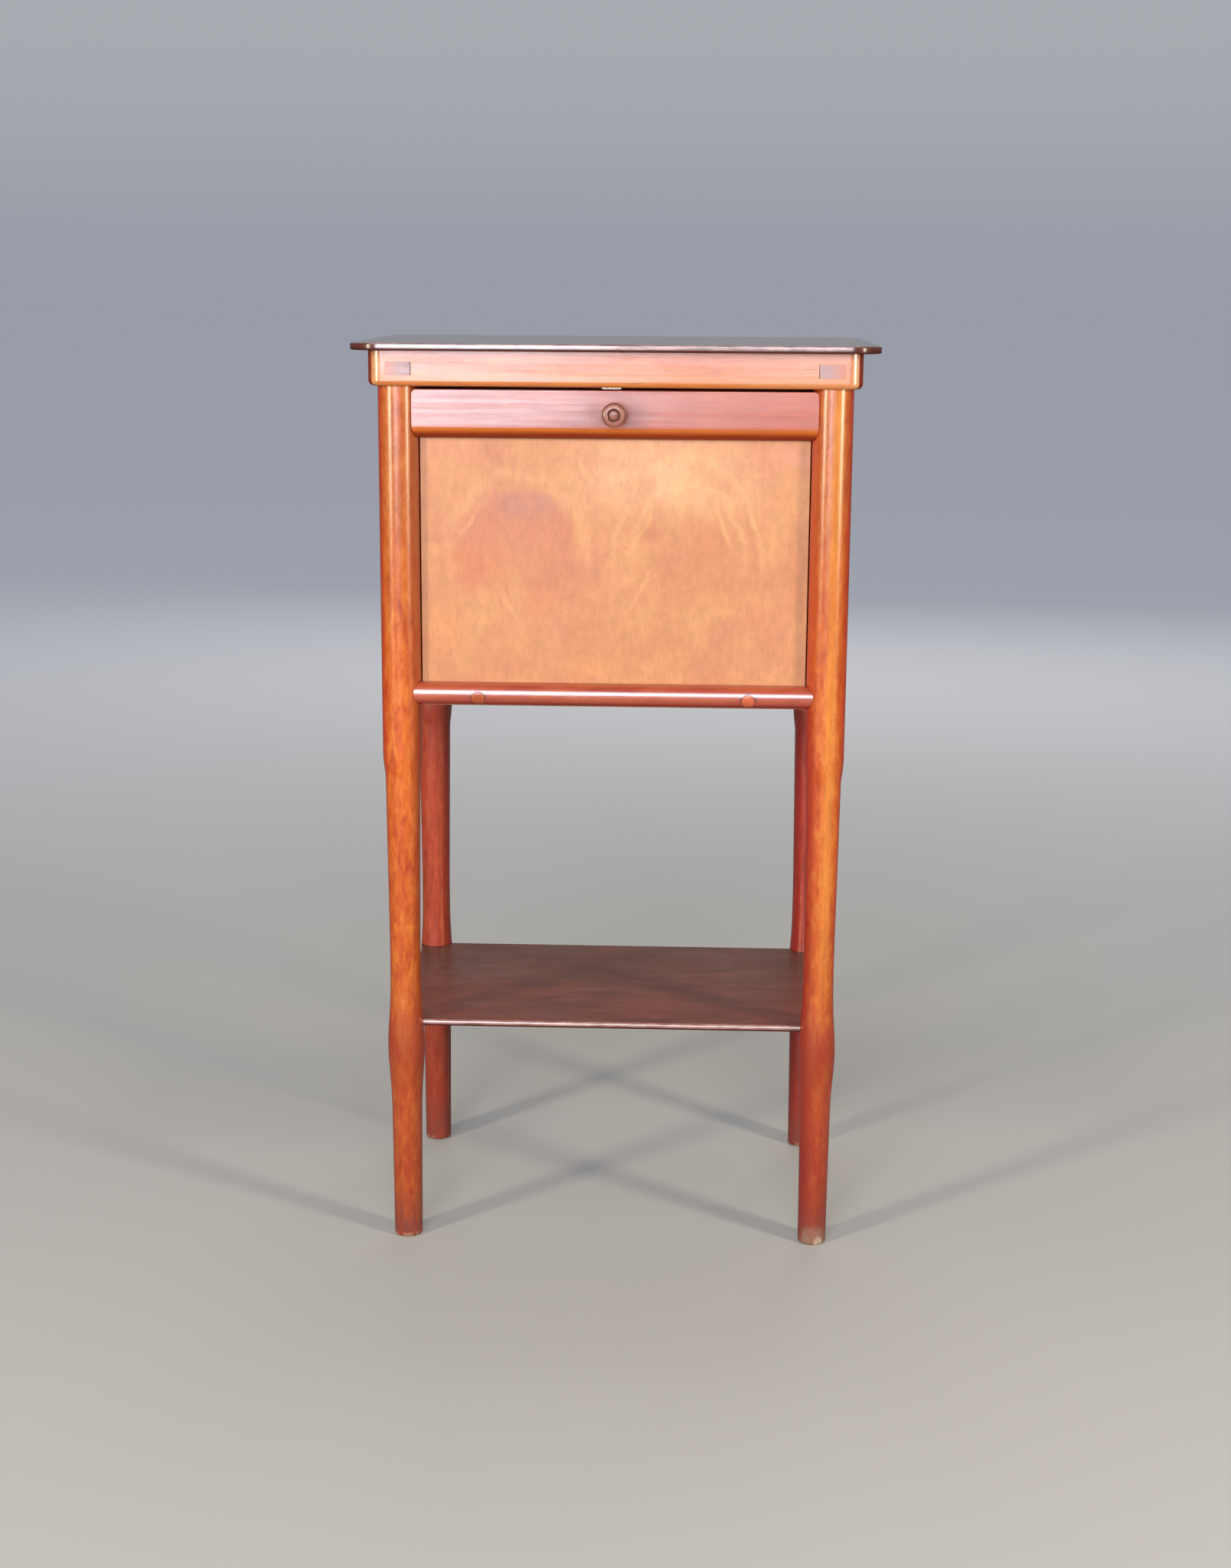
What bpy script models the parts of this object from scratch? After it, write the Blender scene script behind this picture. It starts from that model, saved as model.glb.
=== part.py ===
"""A nightstand on four turned legs: a thin top on a mitred apron, a cupboard with
a drop front below it, and an open shelf near the floor.

Metres, +Z up. The front faces -Y, and the origin is on the floor under the middle.
"""

import math

import bmesh
import bpy
from mathutils import Matrix, Vector

# Overall
HEIGHT = 0.780
LEG_SPREAD_X = 0.3582  # between the leg axes, side to side
LEG_SPREAD_Y = 0.2380  # between the leg axes, front to back

# Clearances
SEAT_GAP = 0.0003  # between pieces that are glued, screwed or let in
TURN_GAP = 0.0003  # round the bar's ends in their sockets
SWING_GAP = 0.0008  # between the drop front and what it swings past
CATCH_GAP = 0.0004  # between the catch and the top of the drop front
PLUG_SHRINK = 0.0006  # open joint at the inner end of an apron plug

# Top board
TOP_THICKNESS = 0.006
TOP_OVERHANG = 0.0144  # beyond the apron
TOP_CORNER = 0.026
TOP_EDGE_ROUND = 0.0026

# Apron
APRON_HEIGHT = 0.0285
APRON_THICKNESS = 0.020
APRON_CORNER = 0.012
APRON_LOWER_ROUND = 0.0045

# Legs, from the top down
LEG_RADIUS = 0.0167  # straight stretch beside the cupboard
SHOULDER_DROP = 0.051  # bar axis down to the start of the shoulder
SHOULDER_LENGTH = 0.030
SHANK_RADIUS = 0.0144  # just under the shoulder
WAIST_HEIGHT = 0.270
WAIST_RADIUS = 0.0132
SWELL_HEIGHT = 0.175
SWELL_RADIUS = 0.0160
SWELL_SPREAD = 0.033
ANKLE_HEIGHT = 0.100
ANKLE_RADIUS = 0.0130
FOOT_RADIUS = 0.0122
FOOT_ROUND = 0.0020

# Cupboard
PANEL_THICKNESS = 0.0050
PANEL_LET_IN = 0.006  # panel edges into the legs
PANEL_GROOVE = 0.006  # panel's lower edge into the lower rails
RAIL_HEIGHT = 0.024
RAIL_THICKNESS = 0.016
TENON_THICKNESS = 0.008
TENON_HEIGHT = 0.016
TENON_END = 0.005  # from the end of a tenon to the leg axis
FLOOR_THICKNESS = 0.006
FLOOR_RISE = 0.0088  # underside of the floor above the bar axis

# Drop front
FLAP_GAP = 0.0025  # under the apron
FLAP_REACH = 0.2537  # bar axis to the top of the drop front
BAR_RADIUS = 0.00965
BAR_FORWARD = 0.0025  # bar axis ahead of the leg axes
BAR_IN_LEG = 0.0060  # bar end into the leg
FLAP_THICKNESS = 0.006
FLAP_BEHIND = 0.0025  # face of the panel behind the bar axis
HEEL = 0.011  # panel below the bar axis
FLAP_RAIL_HEIGHT = 0.040
FLAP_RAIL_THICKNESS = 0.0122
FLAP_RAIL_LOWER_ROUND = 0.0095
FLAP_RAIL_CORNER = 0.0035
FLAP_RAIL_END = 0.0115  # uncut end of the rail to the leg axis
BAR_PLUG_FROM_LEG = 0.0655  # plug axis in from the leg axis
BAR_PLUG_RADIUS = 0.0055
BAR_PLUG_DROP = 0.0030  # plug axis below the bar axis
BAR_PLUG_FLOOR = 0.0040  # bottom of the plug's hole ahead of the bar axis
BAR_PLUG_RISE = 0.0004  # plug face above the bar

# Knob
KNOB_BELOW_TOP = 0.019  # knob axis below the top of the drop front
KNOB_RADIUS = 0.0100
KNOB_NECK_RADIUS = 0.0050
KNOB_COLLAR_RADIUS = 0.0072
KNOB_COLLAR_THICKNESS = 0.0018
KNOB_NECK_LENGTH = 0.0056  # from the collar to the head
KNOB_BACK_LENGTH = 0.0086  # back of the head, out to its widest
KNOB_FRONT_LENGTH = 0.0044  # front of the head, in to its face
KNOB_FACE_RADIUS = 0.0064
KNOB_RING_RADIUS = 0.0042  # inner edge of the flat ring on the face
KNOB_GROOVE_DEPTH = 0.0012
KNOB_BUTTON_RADIUS = 0.0026
KNOB_BUTTON_RISE = 0.0005
KNOB_TENON_RADIUS = 0.0040
KNOB_TENON_LENGTH = 0.0080

# Catch
CATCH_WIDTH = 0.0156
CATCH_THICKNESS = 0.0007
CATCH_OFFSET = -0.0026  # middle of the catch from the middle of the front
CATCH_RISE = 0.016  # up the inner side of the apron
CATCH_FLAT = 0.0026  # flat against the underside of the apron
CATCH_SLOPE = 0.0030  # down to the nose, and up again
CATCH_SCREW_SPREAD = 0.0085
CATCH_SCREW_RISE = 0.009

# Apron plugs
PLUG_WIDTH = 0.0215
PLUG_HEIGHT = 0.011
PLUG_DEPTH = 0.004
PLUG_INSET = 0.003  # plug and screw towards the middle from the leg axis

# Shelf
SHELF_HEIGHT = 0.199  # its upper side
SHELF_THICKNESS = 0.006
SHELF_PAST_LEG_X = 0.0125  # edge beyond the leg axis, at the sides
SHELF_PAST_LEG_Y = 0.0014  # the same at the front and the back
SHELF_CORNER = 0.004
SHELF_EDGE_ROUND = 0.0026

# Screws: shank radius, head radius, head height, and length from the head's top
LEG_SCREW = (0.0020, 0.0040, 0.0026, 0.0270)
BAR_SCREW = (0.0014, 0.0030, 0.0020, 0.0112)
KNOB_SCREW = (0.0016, 0.0032, 0.0022, 0.0260)
CATCH_SCREW = (0.0013, 0.0027, 0.0016, 0.0100)
SCREW_TIP = 1.2  # length of the point for each radius of the shank

# Facets
LEG_SIDES = 20
ROUND_SIDES = 24
SCREW_SIDES = 12
CORNER_STEPS = 6
EDGE_STEPS = 3
LEG_RINGS = 22
SHOULDER_RINGS = 5
SMOOTH_ANGLE = math.radians(35)  # turned surfaces are smooth up to this bend
CUT_PAST = 0.005  # how far a cut runs out past the surface
MERGE_DISTANCE = 1e-6

# Places worked out from the sizes above
LEG_X = LEG_SPREAD_X / 2
LEG_Y = LEG_SPREAD_Y / 2
APRON_INNER_X = LEG_X + PANEL_THICKNESS / 2 + SEAT_GAP
APRON_INNER_Y = LEG_Y + PANEL_THICKNESS / 2 + SEAT_GAP
APRON_X = APRON_INNER_X + APRON_THICKNESS
APRON_Y = APRON_INNER_Y + APRON_THICKNESS
TOP_X = APRON_X + TOP_OVERHANG
TOP_Y = APRON_Y + TOP_OVERHANG
TOP_UNDERSIDE = HEIGHT - TOP_THICKNESS
APRON_TOP = TOP_UNDERSIDE - SEAT_GAP
APRON_BOTTOM = APRON_TOP - APRON_HEIGHT
FLAP_TOP = APRON_BOTTOM - FLAP_GAP
BAR_Z = FLAP_TOP - FLAP_REACH
BAR_Y = -LEG_Y - BAR_FORWARD
FLAP_FACE_Y = BAR_Y + FLAP_BEHIND
FLAP_BACK_Y = FLAP_FACE_Y + FLAP_THICKNESS
FLAP_HALF = LEG_X - LEG_RADIUS - SWING_GAP
FLAP_RAIL_BACK_Y = FLAP_FACE_Y - SEAT_GAP
FLAP_RAIL_FACE_Y = FLAP_RAIL_BACK_Y - FLAP_RAIL_THICKNESS
BAR_HALF = LEG_X - LEG_RADIUS + BAR_IN_LEG
BAR_PLUG_X = LEG_X - BAR_PLUG_FROM_LEG
KNOB_Z = FLAP_TOP - KNOB_BELOW_TOP
FLOOR_BOTTOM = BAR_Z + FLOOR_RISE
RAIL_TOP = FLOOR_BOTTOM - SEAT_GAP
RAIL_BOTTOM = RAIL_TOP - RAIL_HEIGHT
RAIL_MIDDLE = (RAIL_TOP + RAIL_BOTTOM) / 2
PANEL_BOTTOM = RAIL_TOP - PANEL_GROOVE + SEAT_GAP
PANEL_HALF_X = LEG_X - LEG_RADIUS + PANEL_LET_IN - SEAT_GAP
PANEL_HALF_Y = LEG_Y - LEG_RADIUS + PANEL_LET_IN - SEAT_GAP
SHOULDER_TOP = BAR_Z - SHOULDER_DROP
SHOULDER_FOOT = SHOULDER_TOP - SHOULDER_LENGTH
PLUG_Z = (APRON_TOP + APRON_BOTTOM) / 2
PLUG_X = LEG_X - PLUG_INSET
SHELF_X = LEG_X + SHELF_PAST_LEG_X
SHELF_Y = LEG_Y + SHELF_PAST_LEG_Y

SIDES = {"left": -1, "right": 1}
ENDS = {"front": -1, "back": 1}


def clear_scene():
    for item in list(bpy.data.objects):
        bpy.data.objects.remove(item, do_unlink=True)


def finish(name, colour, roughness, metallic=0.0):
    """A plain finish of this colour."""
    material = bpy.data.materials.new(name)
    material.use_nodes = True
    shader = material.node_tree.nodes["Principled BSDF"]
    shader.inputs["Base Color"].default_value = (*colour, 1.0)
    shader.inputs["Roughness"].default_value = roughness
    shader.inputs["Metallic"].default_value = metallic
    return material


def piece_from(name, shape, material=None, location=(0, 0, 0), rotation=(0, 0, 0)):
    """A named object from a bmesh, placed by its location and rotation."""
    bmesh.ops.recalc_face_normals(shape, faces=shape.faces)
    mesh = bpy.data.meshes.new(name)
    shape.to_mesh(mesh)
    shape.free()
    piece = bpy.data.objects.new(name, mesh)
    piece.location = location
    piece.rotation_euler = rotation
    bpy.context.collection.objects.link(piece)
    if material is not None:
        mesh.materials.append(material)
    return piece


def box_shape(low, high):
    """A box between two corners, about its own middle, with that middle."""
    low, high = Vector(low), Vector(high)
    shape = bmesh.new()
    bmesh.ops.create_cube(shape, size=1.0)
    bmesh.ops.scale(shape, vec=high - low, verts=shape.verts)
    return shape, (low + high) / 2


def block(name, low, high, material=None):
    shape, middle = box_shape(low, high)
    return piece_from(name, shape, material, middle)


def turned(name, profile, sides, material=None, location=(0, 0, 0), rotation=(0, 0, 0)):
    """A piece turned about its own Z axis from (radius, height) points that start and end on it."""
    shape = bmesh.new()
    points = [shape.verts.new((radius, 0.0, height)) for radius, height in profile]
    edges = [shape.edges.new(pair) for pair in zip(points, points[1:])]
    bmesh.ops.spin(
        shape,
        geom=points + edges,
        cent=(0, 0, 0),
        axis=(0, 0, 1),
        angle=math.tau,
        steps=sides,
        use_merge=True,
    )
    bmesh.ops.remove_doubles(shape, verts=shape.verts, dist=MERGE_DISTANCE)
    piece = piece_from(name, shape, material, location, rotation)
    piece.data.shade_smooth()
    piece.data.set_sharp_from_angle(angle=SMOOTH_ANGLE)
    return piece


def rod_profile(radius, low, high):
    return [(0, low), (radius, low), (radius, high), (0, high)]


def as_cutter(tool):
    tool.hide_render = True
    tool.display_type = "WIRE"
    return tool


def room(name, low, high, gap=SEAT_GAP):
    """A cutter that leaves a box its place with a gap all round."""
    margin = Vector((gap, gap, gap))
    return as_cutter(block(name, Vector(low) - margin, Vector(high) + margin))


def carve(piece, *cutters, operation="DIFFERENCE"):
    for cutter in cutters:
        step = piece.modifiers.new(cutter.name, "BOOLEAN")
        step.operation = operation
        step.solver = "EXACT"
        step.object = cutter


def spans(edge):
    """How far an edge runs along each axis."""
    first, second = (end.co for end in edge.verts)
    return Vector([abs(a - b) for a, b in zip(first, second)])


def bevel(shape, edges, radius, steps):
    bmesh.ops.bevel(shape, geom=edges, offset=radius, segments=steps, profile=0.5, affect="EDGES")


def rounded_board(name, half_x, half_y, thickness, corner, edge_round, middle_z, material):
    """A board with rounded corners and a rounded edge all round."""
    shape, middle = box_shape((-half_x, -half_y, 0), (half_x, half_y, thickness))
    bevel(shape, [edge for edge in shape.edges if spans(edge).z > thickness / 2], corner, CORNER_STEPS)
    bevel(shape, [edge for edge in shape.edges if spans(edge).z < thickness / 2], edge_round, EDGE_STEPS)
    return piece_from(name, shape, material, (0, 0, middle_z))


def countersunk(size, gap=0.0):
    """Profile of a countersunk screw along +Z from the top of its head, grown by the gap."""
    shank, head, head_height, length = size
    return [
        (0, -gap),
        (head + gap, -gap),
        (head + gap, gap),
        (shank + gap, head_height + gap),
        (shank + gap, length - SCREW_TIP * shank + gap),
        (0, length + gap),
    ]


def round_headed(size):
    """Profile of a round-headed screw along +Z from the top of its head."""
    shank, head, head_height, length = size
    dome = quarter(0, 0, head, head_height, EDGE_STEPS)
    point = [(shank, head_height), (shank, length - SCREW_TIP * shank), (0, length)]
    return dome + point


def quarter(from_radius, from_height, to_radius, to_height, steps, outward=True):
    """Points of a quarter ellipse, which leaves square to the axis if outward and else along it."""
    points = []
    for step in range(steps + 1):
        turn = math.pi / 2 * step / steps
        near, far = math.sin(turn), 1 - math.cos(turn)
        radial, axial = (near, far) if outward else (far, near)
        radius = from_radius + (to_radius - from_radius) * radial
        points.append((radius, from_height + (to_height - from_height) * axial))
    return points


def screw(name, profile, hole_profile, location, rotation, *held):
    """A screw, with its hole in each of the pieces that it holds."""
    piece = turned(name, profile, SCREW_SIDES, SCREW_METAL, location, rotation)
    hole = as_cutter(turned(name + "_hole", hole_profile, SCREW_SIDES, None, location, rotation))
    for other in held:
        carve(other, hole)
    return piece


def countersunk_screw(name, size, location, rotation, *held):
    return screw(name, countersunk(size), countersunk(size, SEAT_GAP), location, rotation, *held)


def between(height, low, high, value_low, value_high):
    share = (height - low) / (high - low)
    return value_low + (value_high - value_low) * share


def taper_radius(height):
    """Leg radius without its swelling, from the foot to the foot of the shoulder."""
    if height < ANKLE_HEIGHT:
        return between(height, 0, ANKLE_HEIGHT, FOOT_RADIUS, ANKLE_RADIUS)
    if height < WAIST_HEIGHT:
        return between(height, ANKLE_HEIGHT, WAIST_HEIGHT, ANKLE_RADIUS, WAIST_RADIUS)
    return between(height, WAIST_HEIGHT, SHOULDER_FOOT, WAIST_RADIUS, SHANK_RADIUS)


def leg_radius(height):
    """Leg radius at a height: a taper with one soft swelling, and a shoulder up to the straight top."""
    if height >= SHOULDER_TOP:
        return LEG_RADIUS
    if height >= SHOULDER_FOOT:
        share = (height - SHOULDER_FOOT) / SHOULDER_LENGTH
        return SHANK_RADIUS + (LEG_RADIUS - SHANK_RADIUS) * share * share * (3 - 2 * share)
    swell = SWELL_RADIUS - taper_radius(SWELL_HEIGHT)
    return taper_radius(height) + swell * math.exp(-(((height - SWELL_HEIGHT) / SWELL_SPREAD) ** 2))


def leg_profile(top):
    heights = [FOOT_ROUND + (SHOULDER_FOOT - FOOT_ROUND) * i / LEG_RINGS for i in range(LEG_RINGS)]
    heights += [SHOULDER_FOOT + SHOULDER_LENGTH * i / SHOULDER_RINGS for i in range(SHOULDER_RINGS + 1)]
    profile = [(0, 0), (FOOT_RADIUS - FOOT_ROUND, 0)]
    profile += [(leg_radius(height), height) for height in heights]
    return profile + [(LEG_RADIUS, top), (0, top)]


def apron_outline(half_long, half_across):
    """Plan of one mitred apron rail at the front, with half a rounded corner at each end."""
    joint = SEAT_GAP / math.sqrt(2)
    inner = half_long - APRON_THICKNESS - joint
    right = []
    for step in range(CORNER_STEPS + 1):
        turn = math.radians(-90 + 45 * step / CORNER_STEPS)
        x = half_long - APRON_CORNER + APRON_CORNER * math.cos(turn)
        y = -half_across + APRON_CORNER + APRON_CORNER * math.sin(turn)
        right.append((min(x, half_long - half_across - y - joint), y))
    outer = [(-x, y) for x, y in reversed(right)] + right
    inner_y = -half_across + APRON_THICKNESS
    return outer, [(inner, inner_y), (-inner, inner_y)]


def apron_rail(name, half_long, half_across, turn, material):
    outer, inner = apron_outline(half_long, half_across)
    shape = bmesh.new()
    corners = [shape.verts.new((x, y, APRON_BOTTOM)) for x, y in outer + inner]
    plan = shape.faces.new(corners)
    lower = [edge for edge in plan.edges if all(end in corners[: len(outer)] for end in edge.verts)]
    raised = bmesh.ops.extrude_face_region(shape, geom=[plan], use_keep_orig=True)
    upper = [item for item in raised["geom"] if isinstance(item, bmesh.types.BMVert)]
    bmesh.ops.translate(shape, vec=(0, 0, APRON_HEIGHT), verts=upper)
    bmesh.ops.recalc_face_normals(shape, faces=shape.faces)
    bevel(shape, lower, APRON_LOWER_ROUND, EDGE_STEPS)
    return piece_from(name, shape, material, rotation=(0, 0, turn))


def hang(piece, hinge):
    """Makes a piece turn with the drop front, where it already is."""
    piece.parent = hinge
    piece.matrix_parent_inverse = Matrix.Translation(hinge.location).inverted()


clear_scene()

LEG_WOOD = finish("polished_leg", (0.42, 0.14, 0.035), 0.28)
APRON_WOOD = finish("polished_apron", (0.50, 0.20, 0.09), 0.28)
TOP_WOOD = finish("dark_board", (0.13, 0.075, 0.055), 0.35)
PANEL_WOOD = finish("panel_plywood", (0.58, 0.30, 0.14), 0.35)
PLUG_WOOD = finish("plug_wood", (0.45, 0.22, 0.15), 0.40)
KNOB_WOOD = finish("dark_knob", (0.16, 0.065, 0.04), 0.30)
INSIDE_WOOD = finish("bare_wood", (0.45, 0.28, 0.15), 0.60)
SPRING_METAL = finish("nickel_spring", (0.72, 0.69, 0.62), 0.30, 1.0)
SCREW_METAL = finish("steel_screw", (0.45, 0.44, 0.42), 0.40, 1.0)

# Top and apron
top_board = rounded_board(
    "top_board",
    TOP_X,
    TOP_Y,
    TOP_THICKNESS,
    TOP_CORNER,
    TOP_EDGE_ROUND,
    HEIGHT - TOP_THICKNESS / 2,
    TOP_WOOD,
)
aprons = {
    "front": apron_rail("apron_front", APRON_X, APRON_Y, 0, APRON_WOOD),
    "back": apron_rail("apron_back", APRON_X, APRON_Y, math.pi, APRON_WOOD),
    "left": apron_rail("apron_left", APRON_Y, APRON_X, -math.pi / 2, APRON_WOOD),
    "right": apron_rail("apron_right", APRON_Y, APRON_X, math.pi / 2, APRON_WOOD),
}

# Legs, each cut away at the top to a tongue that stands inside the apron's corner
legs = {
    (end, side): turned(
        f"leg_{end}_{side}",
        leg_profile(APRON_TOP),
        LEG_SIDES,
        LEG_WOOD,
        (SIDES[side] * LEG_X, ENDS[end] * LEG_Y, 0),
    )
    for end in ENDS
    for side in SIDES
}
for side, sign in SIDES.items():
    across = [sign * (APRON_INNER_X - SEAT_GAP), sign * (APRON_X + CUT_PAST)]
    apron_room = as_cutter(
        block(
            f"apron_{side}_room",
            (min(across), -APRON_Y, APRON_BOTTOM - SEAT_GAP),
            (max(across), APRON_Y, APRON_TOP + CUT_PAST),
        )
    )
    carve(legs["front", side], apron_room)
    carve(legs["back", side], apron_room)
for end, sign in ENDS.items():
    along = [sign * (APRON_INNER_Y - SEAT_GAP), sign * (APRON_Y + CUT_PAST)]
    apron_room = as_cutter(
        block(
            f"apron_{end}_room",
            (-APRON_X, min(along), APRON_BOTTOM - SEAT_GAP),
            (APRON_X, max(along), APRON_TOP + CUT_PAST),
        )
    )
    carve(legs[end, "left"], apron_room)
    carve(legs[end, "right"], apron_room)

# Room round the straight part of each leg, close for what is fixed and wider for what swings
leg_rooms = {
    (end, side): as_cutter(
        turned(
            f"leg_{end}_{side}_room",
            rod_profile(LEG_RADIUS + SEAT_GAP, SHOULDER_TOP, APRON_TOP),
            ROUND_SIDES,
            None,
            (SIDES[side] * LEG_X, ENDS[end] * LEG_Y, 0),
        )
    )
    for end in ENDS
    for side in SIDES
}

# Lower rails with tenons in the legs, and the panels that stand in their grooves
tenon_low = RAIL_MIDDLE - TENON_HEIGHT / 2
tenon_high = RAIL_MIDDLE + TENON_HEIGHT / 2
for side, sign in SIDES.items():
    x = sign * LEG_X
    rail = block(
        f"side_rail_{side}",
        (x - RAIL_THICKNESS / 2, -LEG_Y, RAIL_BOTTOM),
        (x + RAIL_THICKNESS / 2, LEG_Y, RAIL_TOP),
        LEG_WOOD,
    )
    low = (x - TENON_THICKNESS / 2, TENON_END - LEG_Y, tenon_low)
    high = (x + TENON_THICKNESS / 2, LEG_Y - TENON_END, tenon_high)
    tenon = as_cutter(block(f"side_tenon_{side}", low, high))
    tenon_room = room(f"side_tenon_{side}_room", low, high)
    carve(rail, leg_rooms["front", side], leg_rooms["back", side])
    carve(rail, tenon, operation="UNION")
    low = (x - PANEL_THICKNESS / 2, -PANEL_HALF_Y, PANEL_BOTTOM)
    high = (x + PANEL_THICKNESS / 2, PANEL_HALF_Y, APRON_TOP)
    block(f"side_panel_{side}", low, high, PANEL_WOOD)
    panel_room = room(f"side_panel_{side}_room", low, high)
    carve(rail, panel_room)
    for end in ENDS:
        carve(legs[end, side], tenon_room, panel_room)

back_rail = block(
    "back_rail",
    (-LEG_X, LEG_Y - RAIL_THICKNESS / 2, RAIL_BOTTOM),
    (LEG_X, LEG_Y + RAIL_THICKNESS / 2, RAIL_TOP),
    LEG_WOOD,
)
low = (TENON_END - LEG_X, LEG_Y - TENON_THICKNESS / 2, tenon_low)
high = (LEG_X - TENON_END, LEG_Y + TENON_THICKNESS / 2, tenon_high)
back_tenon = as_cutter(block("back_tenon", low, high))
back_tenon_room = room("back_tenon_room", low, high)
carve(back_rail, leg_rooms["back", "left"], leg_rooms["back", "right"])
carve(back_rail, back_tenon, operation="UNION")
low = (-PANEL_HALF_X, LEG_Y - PANEL_THICKNESS / 2, PANEL_BOTTOM)
high = (PANEL_HALF_X, LEG_Y + PANEL_THICKNESS / 2, APRON_TOP)
block("back_panel", low, high, PANEL_WOOD)
back_panel_room = room("back_panel_room", low, high)
carve(back_rail, back_panel_room)
for side in SIDES:
    carve(legs["back", side], back_tenon_room, back_panel_room)

# Cupboard floor, notched round the legs
floor_x = LEG_X - PANEL_THICKNESS / 2 - SEAT_GAP
floor_board = block(
    "floor_board",
    (-floor_x, FLAP_BACK_Y + SWING_GAP, FLOOR_BOTTOM),
    (floor_x, LEG_Y - PANEL_THICKNESS / 2 - SEAT_GAP, FLOOR_BOTTOM + FLOOR_THICKNESS),
    INSIDE_WOOD,
)
carve(floor_board, *leg_rooms.values())

# Shelf, half-lapped into the legs
rounded_board(
    "shelf",
    SHELF_X,
    SHELF_Y,
    SHELF_THICKNESS,
    SHELF_CORNER,
    SHELF_EDGE_ROUND,
    SHELF_HEIGHT - SHELF_THICKNESS / 2,
    TOP_WOOD,
)
shelf_room = room(
    "shelf_room", (-SHELF_X, -SHELF_Y, SHELF_HEIGHT - SHELF_THICKNESS), (SHELF_X, SHELF_Y, SHELF_HEIGHT)
)
for leg in legs.values():
    carve(leg, shelf_room)

# Leg screws through the front and back aprons, each under a rectangular plug
for end, end_sign in ENDS.items():
    for side, side_sign in SIDES.items():
        x = side_sign * PLUG_X
        face = end_sign * APRON_Y
        depth = face - end_sign * PLUG_DEPTH
        pocket_low = (x - PLUG_WIDTH / 2, min(depth, face + end_sign * CUT_PAST), PLUG_Z - PLUG_HEIGHT / 2)
        pocket_high = (x + PLUG_WIDTH / 2, max(depth, face + end_sign * CUT_PAST), PLUG_Z + PLUG_HEIGHT / 2)
        carve(aprons[end], as_cutter(block(f"plug_{end}_{side}_pocket", pocket_low, pocket_high)))
        inner = x - side_sign * (PLUG_WIDTH / 2 - PLUG_SHRINK)
        outer = x + side_sign * (PLUG_WIDTH / 2 - SEAT_GAP)
        bottom = depth + end_sign * SEAT_GAP
        block(
            f"apron_plug_{end}_{side}",
            (min(inner, outer), min(bottom, face), PLUG_Z - PLUG_HEIGHT / 2 + SEAT_GAP),
            (max(inner, outer), max(bottom, face), PLUG_Z + PLUG_HEIGHT / 2 - SEAT_GAP),
            PLUG_WOOD,
        )
        countersunk_screw(
            f"leg_screw_{end}_{side}",
            LEG_SCREW,
            (x, depth, PLUG_Z),
            (end_sign * math.pi / 2, 0, 0),
            aprons[end],
            legs[end, side],
        )

# Drop front, on an empty at its hinge axis
hinge = bpy.data.objects.new("flap_hinge", None)
hinge.location = (0, BAR_Y, BAR_Z)
bpy.context.collection.objects.link(hinge)

flap_panel = block(
    "flap_panel",
    (-FLAP_HALF, FLAP_FACE_Y, BAR_Z - HEEL),
    (FLAP_HALF, FLAP_BACK_Y, FLAP_TOP),
    PANEL_WOOD,
)

shape, middle = box_shape(
    (FLAP_RAIL_END - LEG_X, FLAP_RAIL_FACE_Y, FLAP_TOP - FLAP_RAIL_HEIGHT),
    (LEG_X - FLAP_RAIL_END, FLAP_RAIL_BACK_Y, FLAP_TOP),
)
top_corners = [
    edge
    for edge in shape.edges
    if spans(edge).y > FLAP_RAIL_THICKNESS / 2 and all(end.co.z > 0 for end in edge.verts)
]
bevel(shape, top_corners, FLAP_RAIL_CORNER, EDGE_STEPS)
lower_front = [
    edge
    for edge in shape.edges
    if spans(edge).x > LEG_X and all(end.co.z < 0 and end.co.y < 0 for end in edge.verts)
]
bevel(shape, lower_front, FLAP_RAIL_LOWER_ROUND, CORNER_STEPS)
flap_rail = piece_from("flap_rail", shape, APRON_WOOD, middle)
for side, sign in SIDES.items():
    swing_room = as_cutter(
        turned(
            f"leg_{side}_swing_room",
            rod_profile(LEG_RADIUS + SWING_GAP, SHOULDER_TOP, APRON_TOP),
            ROUND_SIDES,
            None,
            (sign * LEG_X, -LEG_Y, 0),
        )
    )
    carve(flap_rail, swing_room)

level = (0, math.pi / 2, 0)
flap_bar = turned(
    "flap_bar", rod_profile(BAR_RADIUS, -BAR_HALF, BAR_HALF), ROUND_SIDES, LEG_WOOD, (0, BAR_Y, BAR_Z), level
)
bar_rebate = as_cutter(
    block(
        "bar_rebate",
        (-FLAP_HALF - SEAT_GAP, FLAP_FACE_Y - SEAT_GAP, BAR_Z - BAR_RADIUS - CUT_PAST),
        (FLAP_HALF + SEAT_GAP, BAR_Y + BAR_RADIUS + CUT_PAST, BAR_Z + BAR_RADIUS + CUT_PAST),
    )
)
carve(flap_bar, bar_rebate)
bar_socket = as_cutter(
    turned(
        "bar_socket",
        rod_profile(BAR_RADIUS + TURN_GAP, -BAR_HALF - TURN_GAP, BAR_HALF + TURN_GAP),
        ROUND_SIDES,
        None,
        (0, BAR_Y, BAR_Z),
        level,
    )
)
for side in SIDES:
    carve(legs["front", side], bar_socket)

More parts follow.
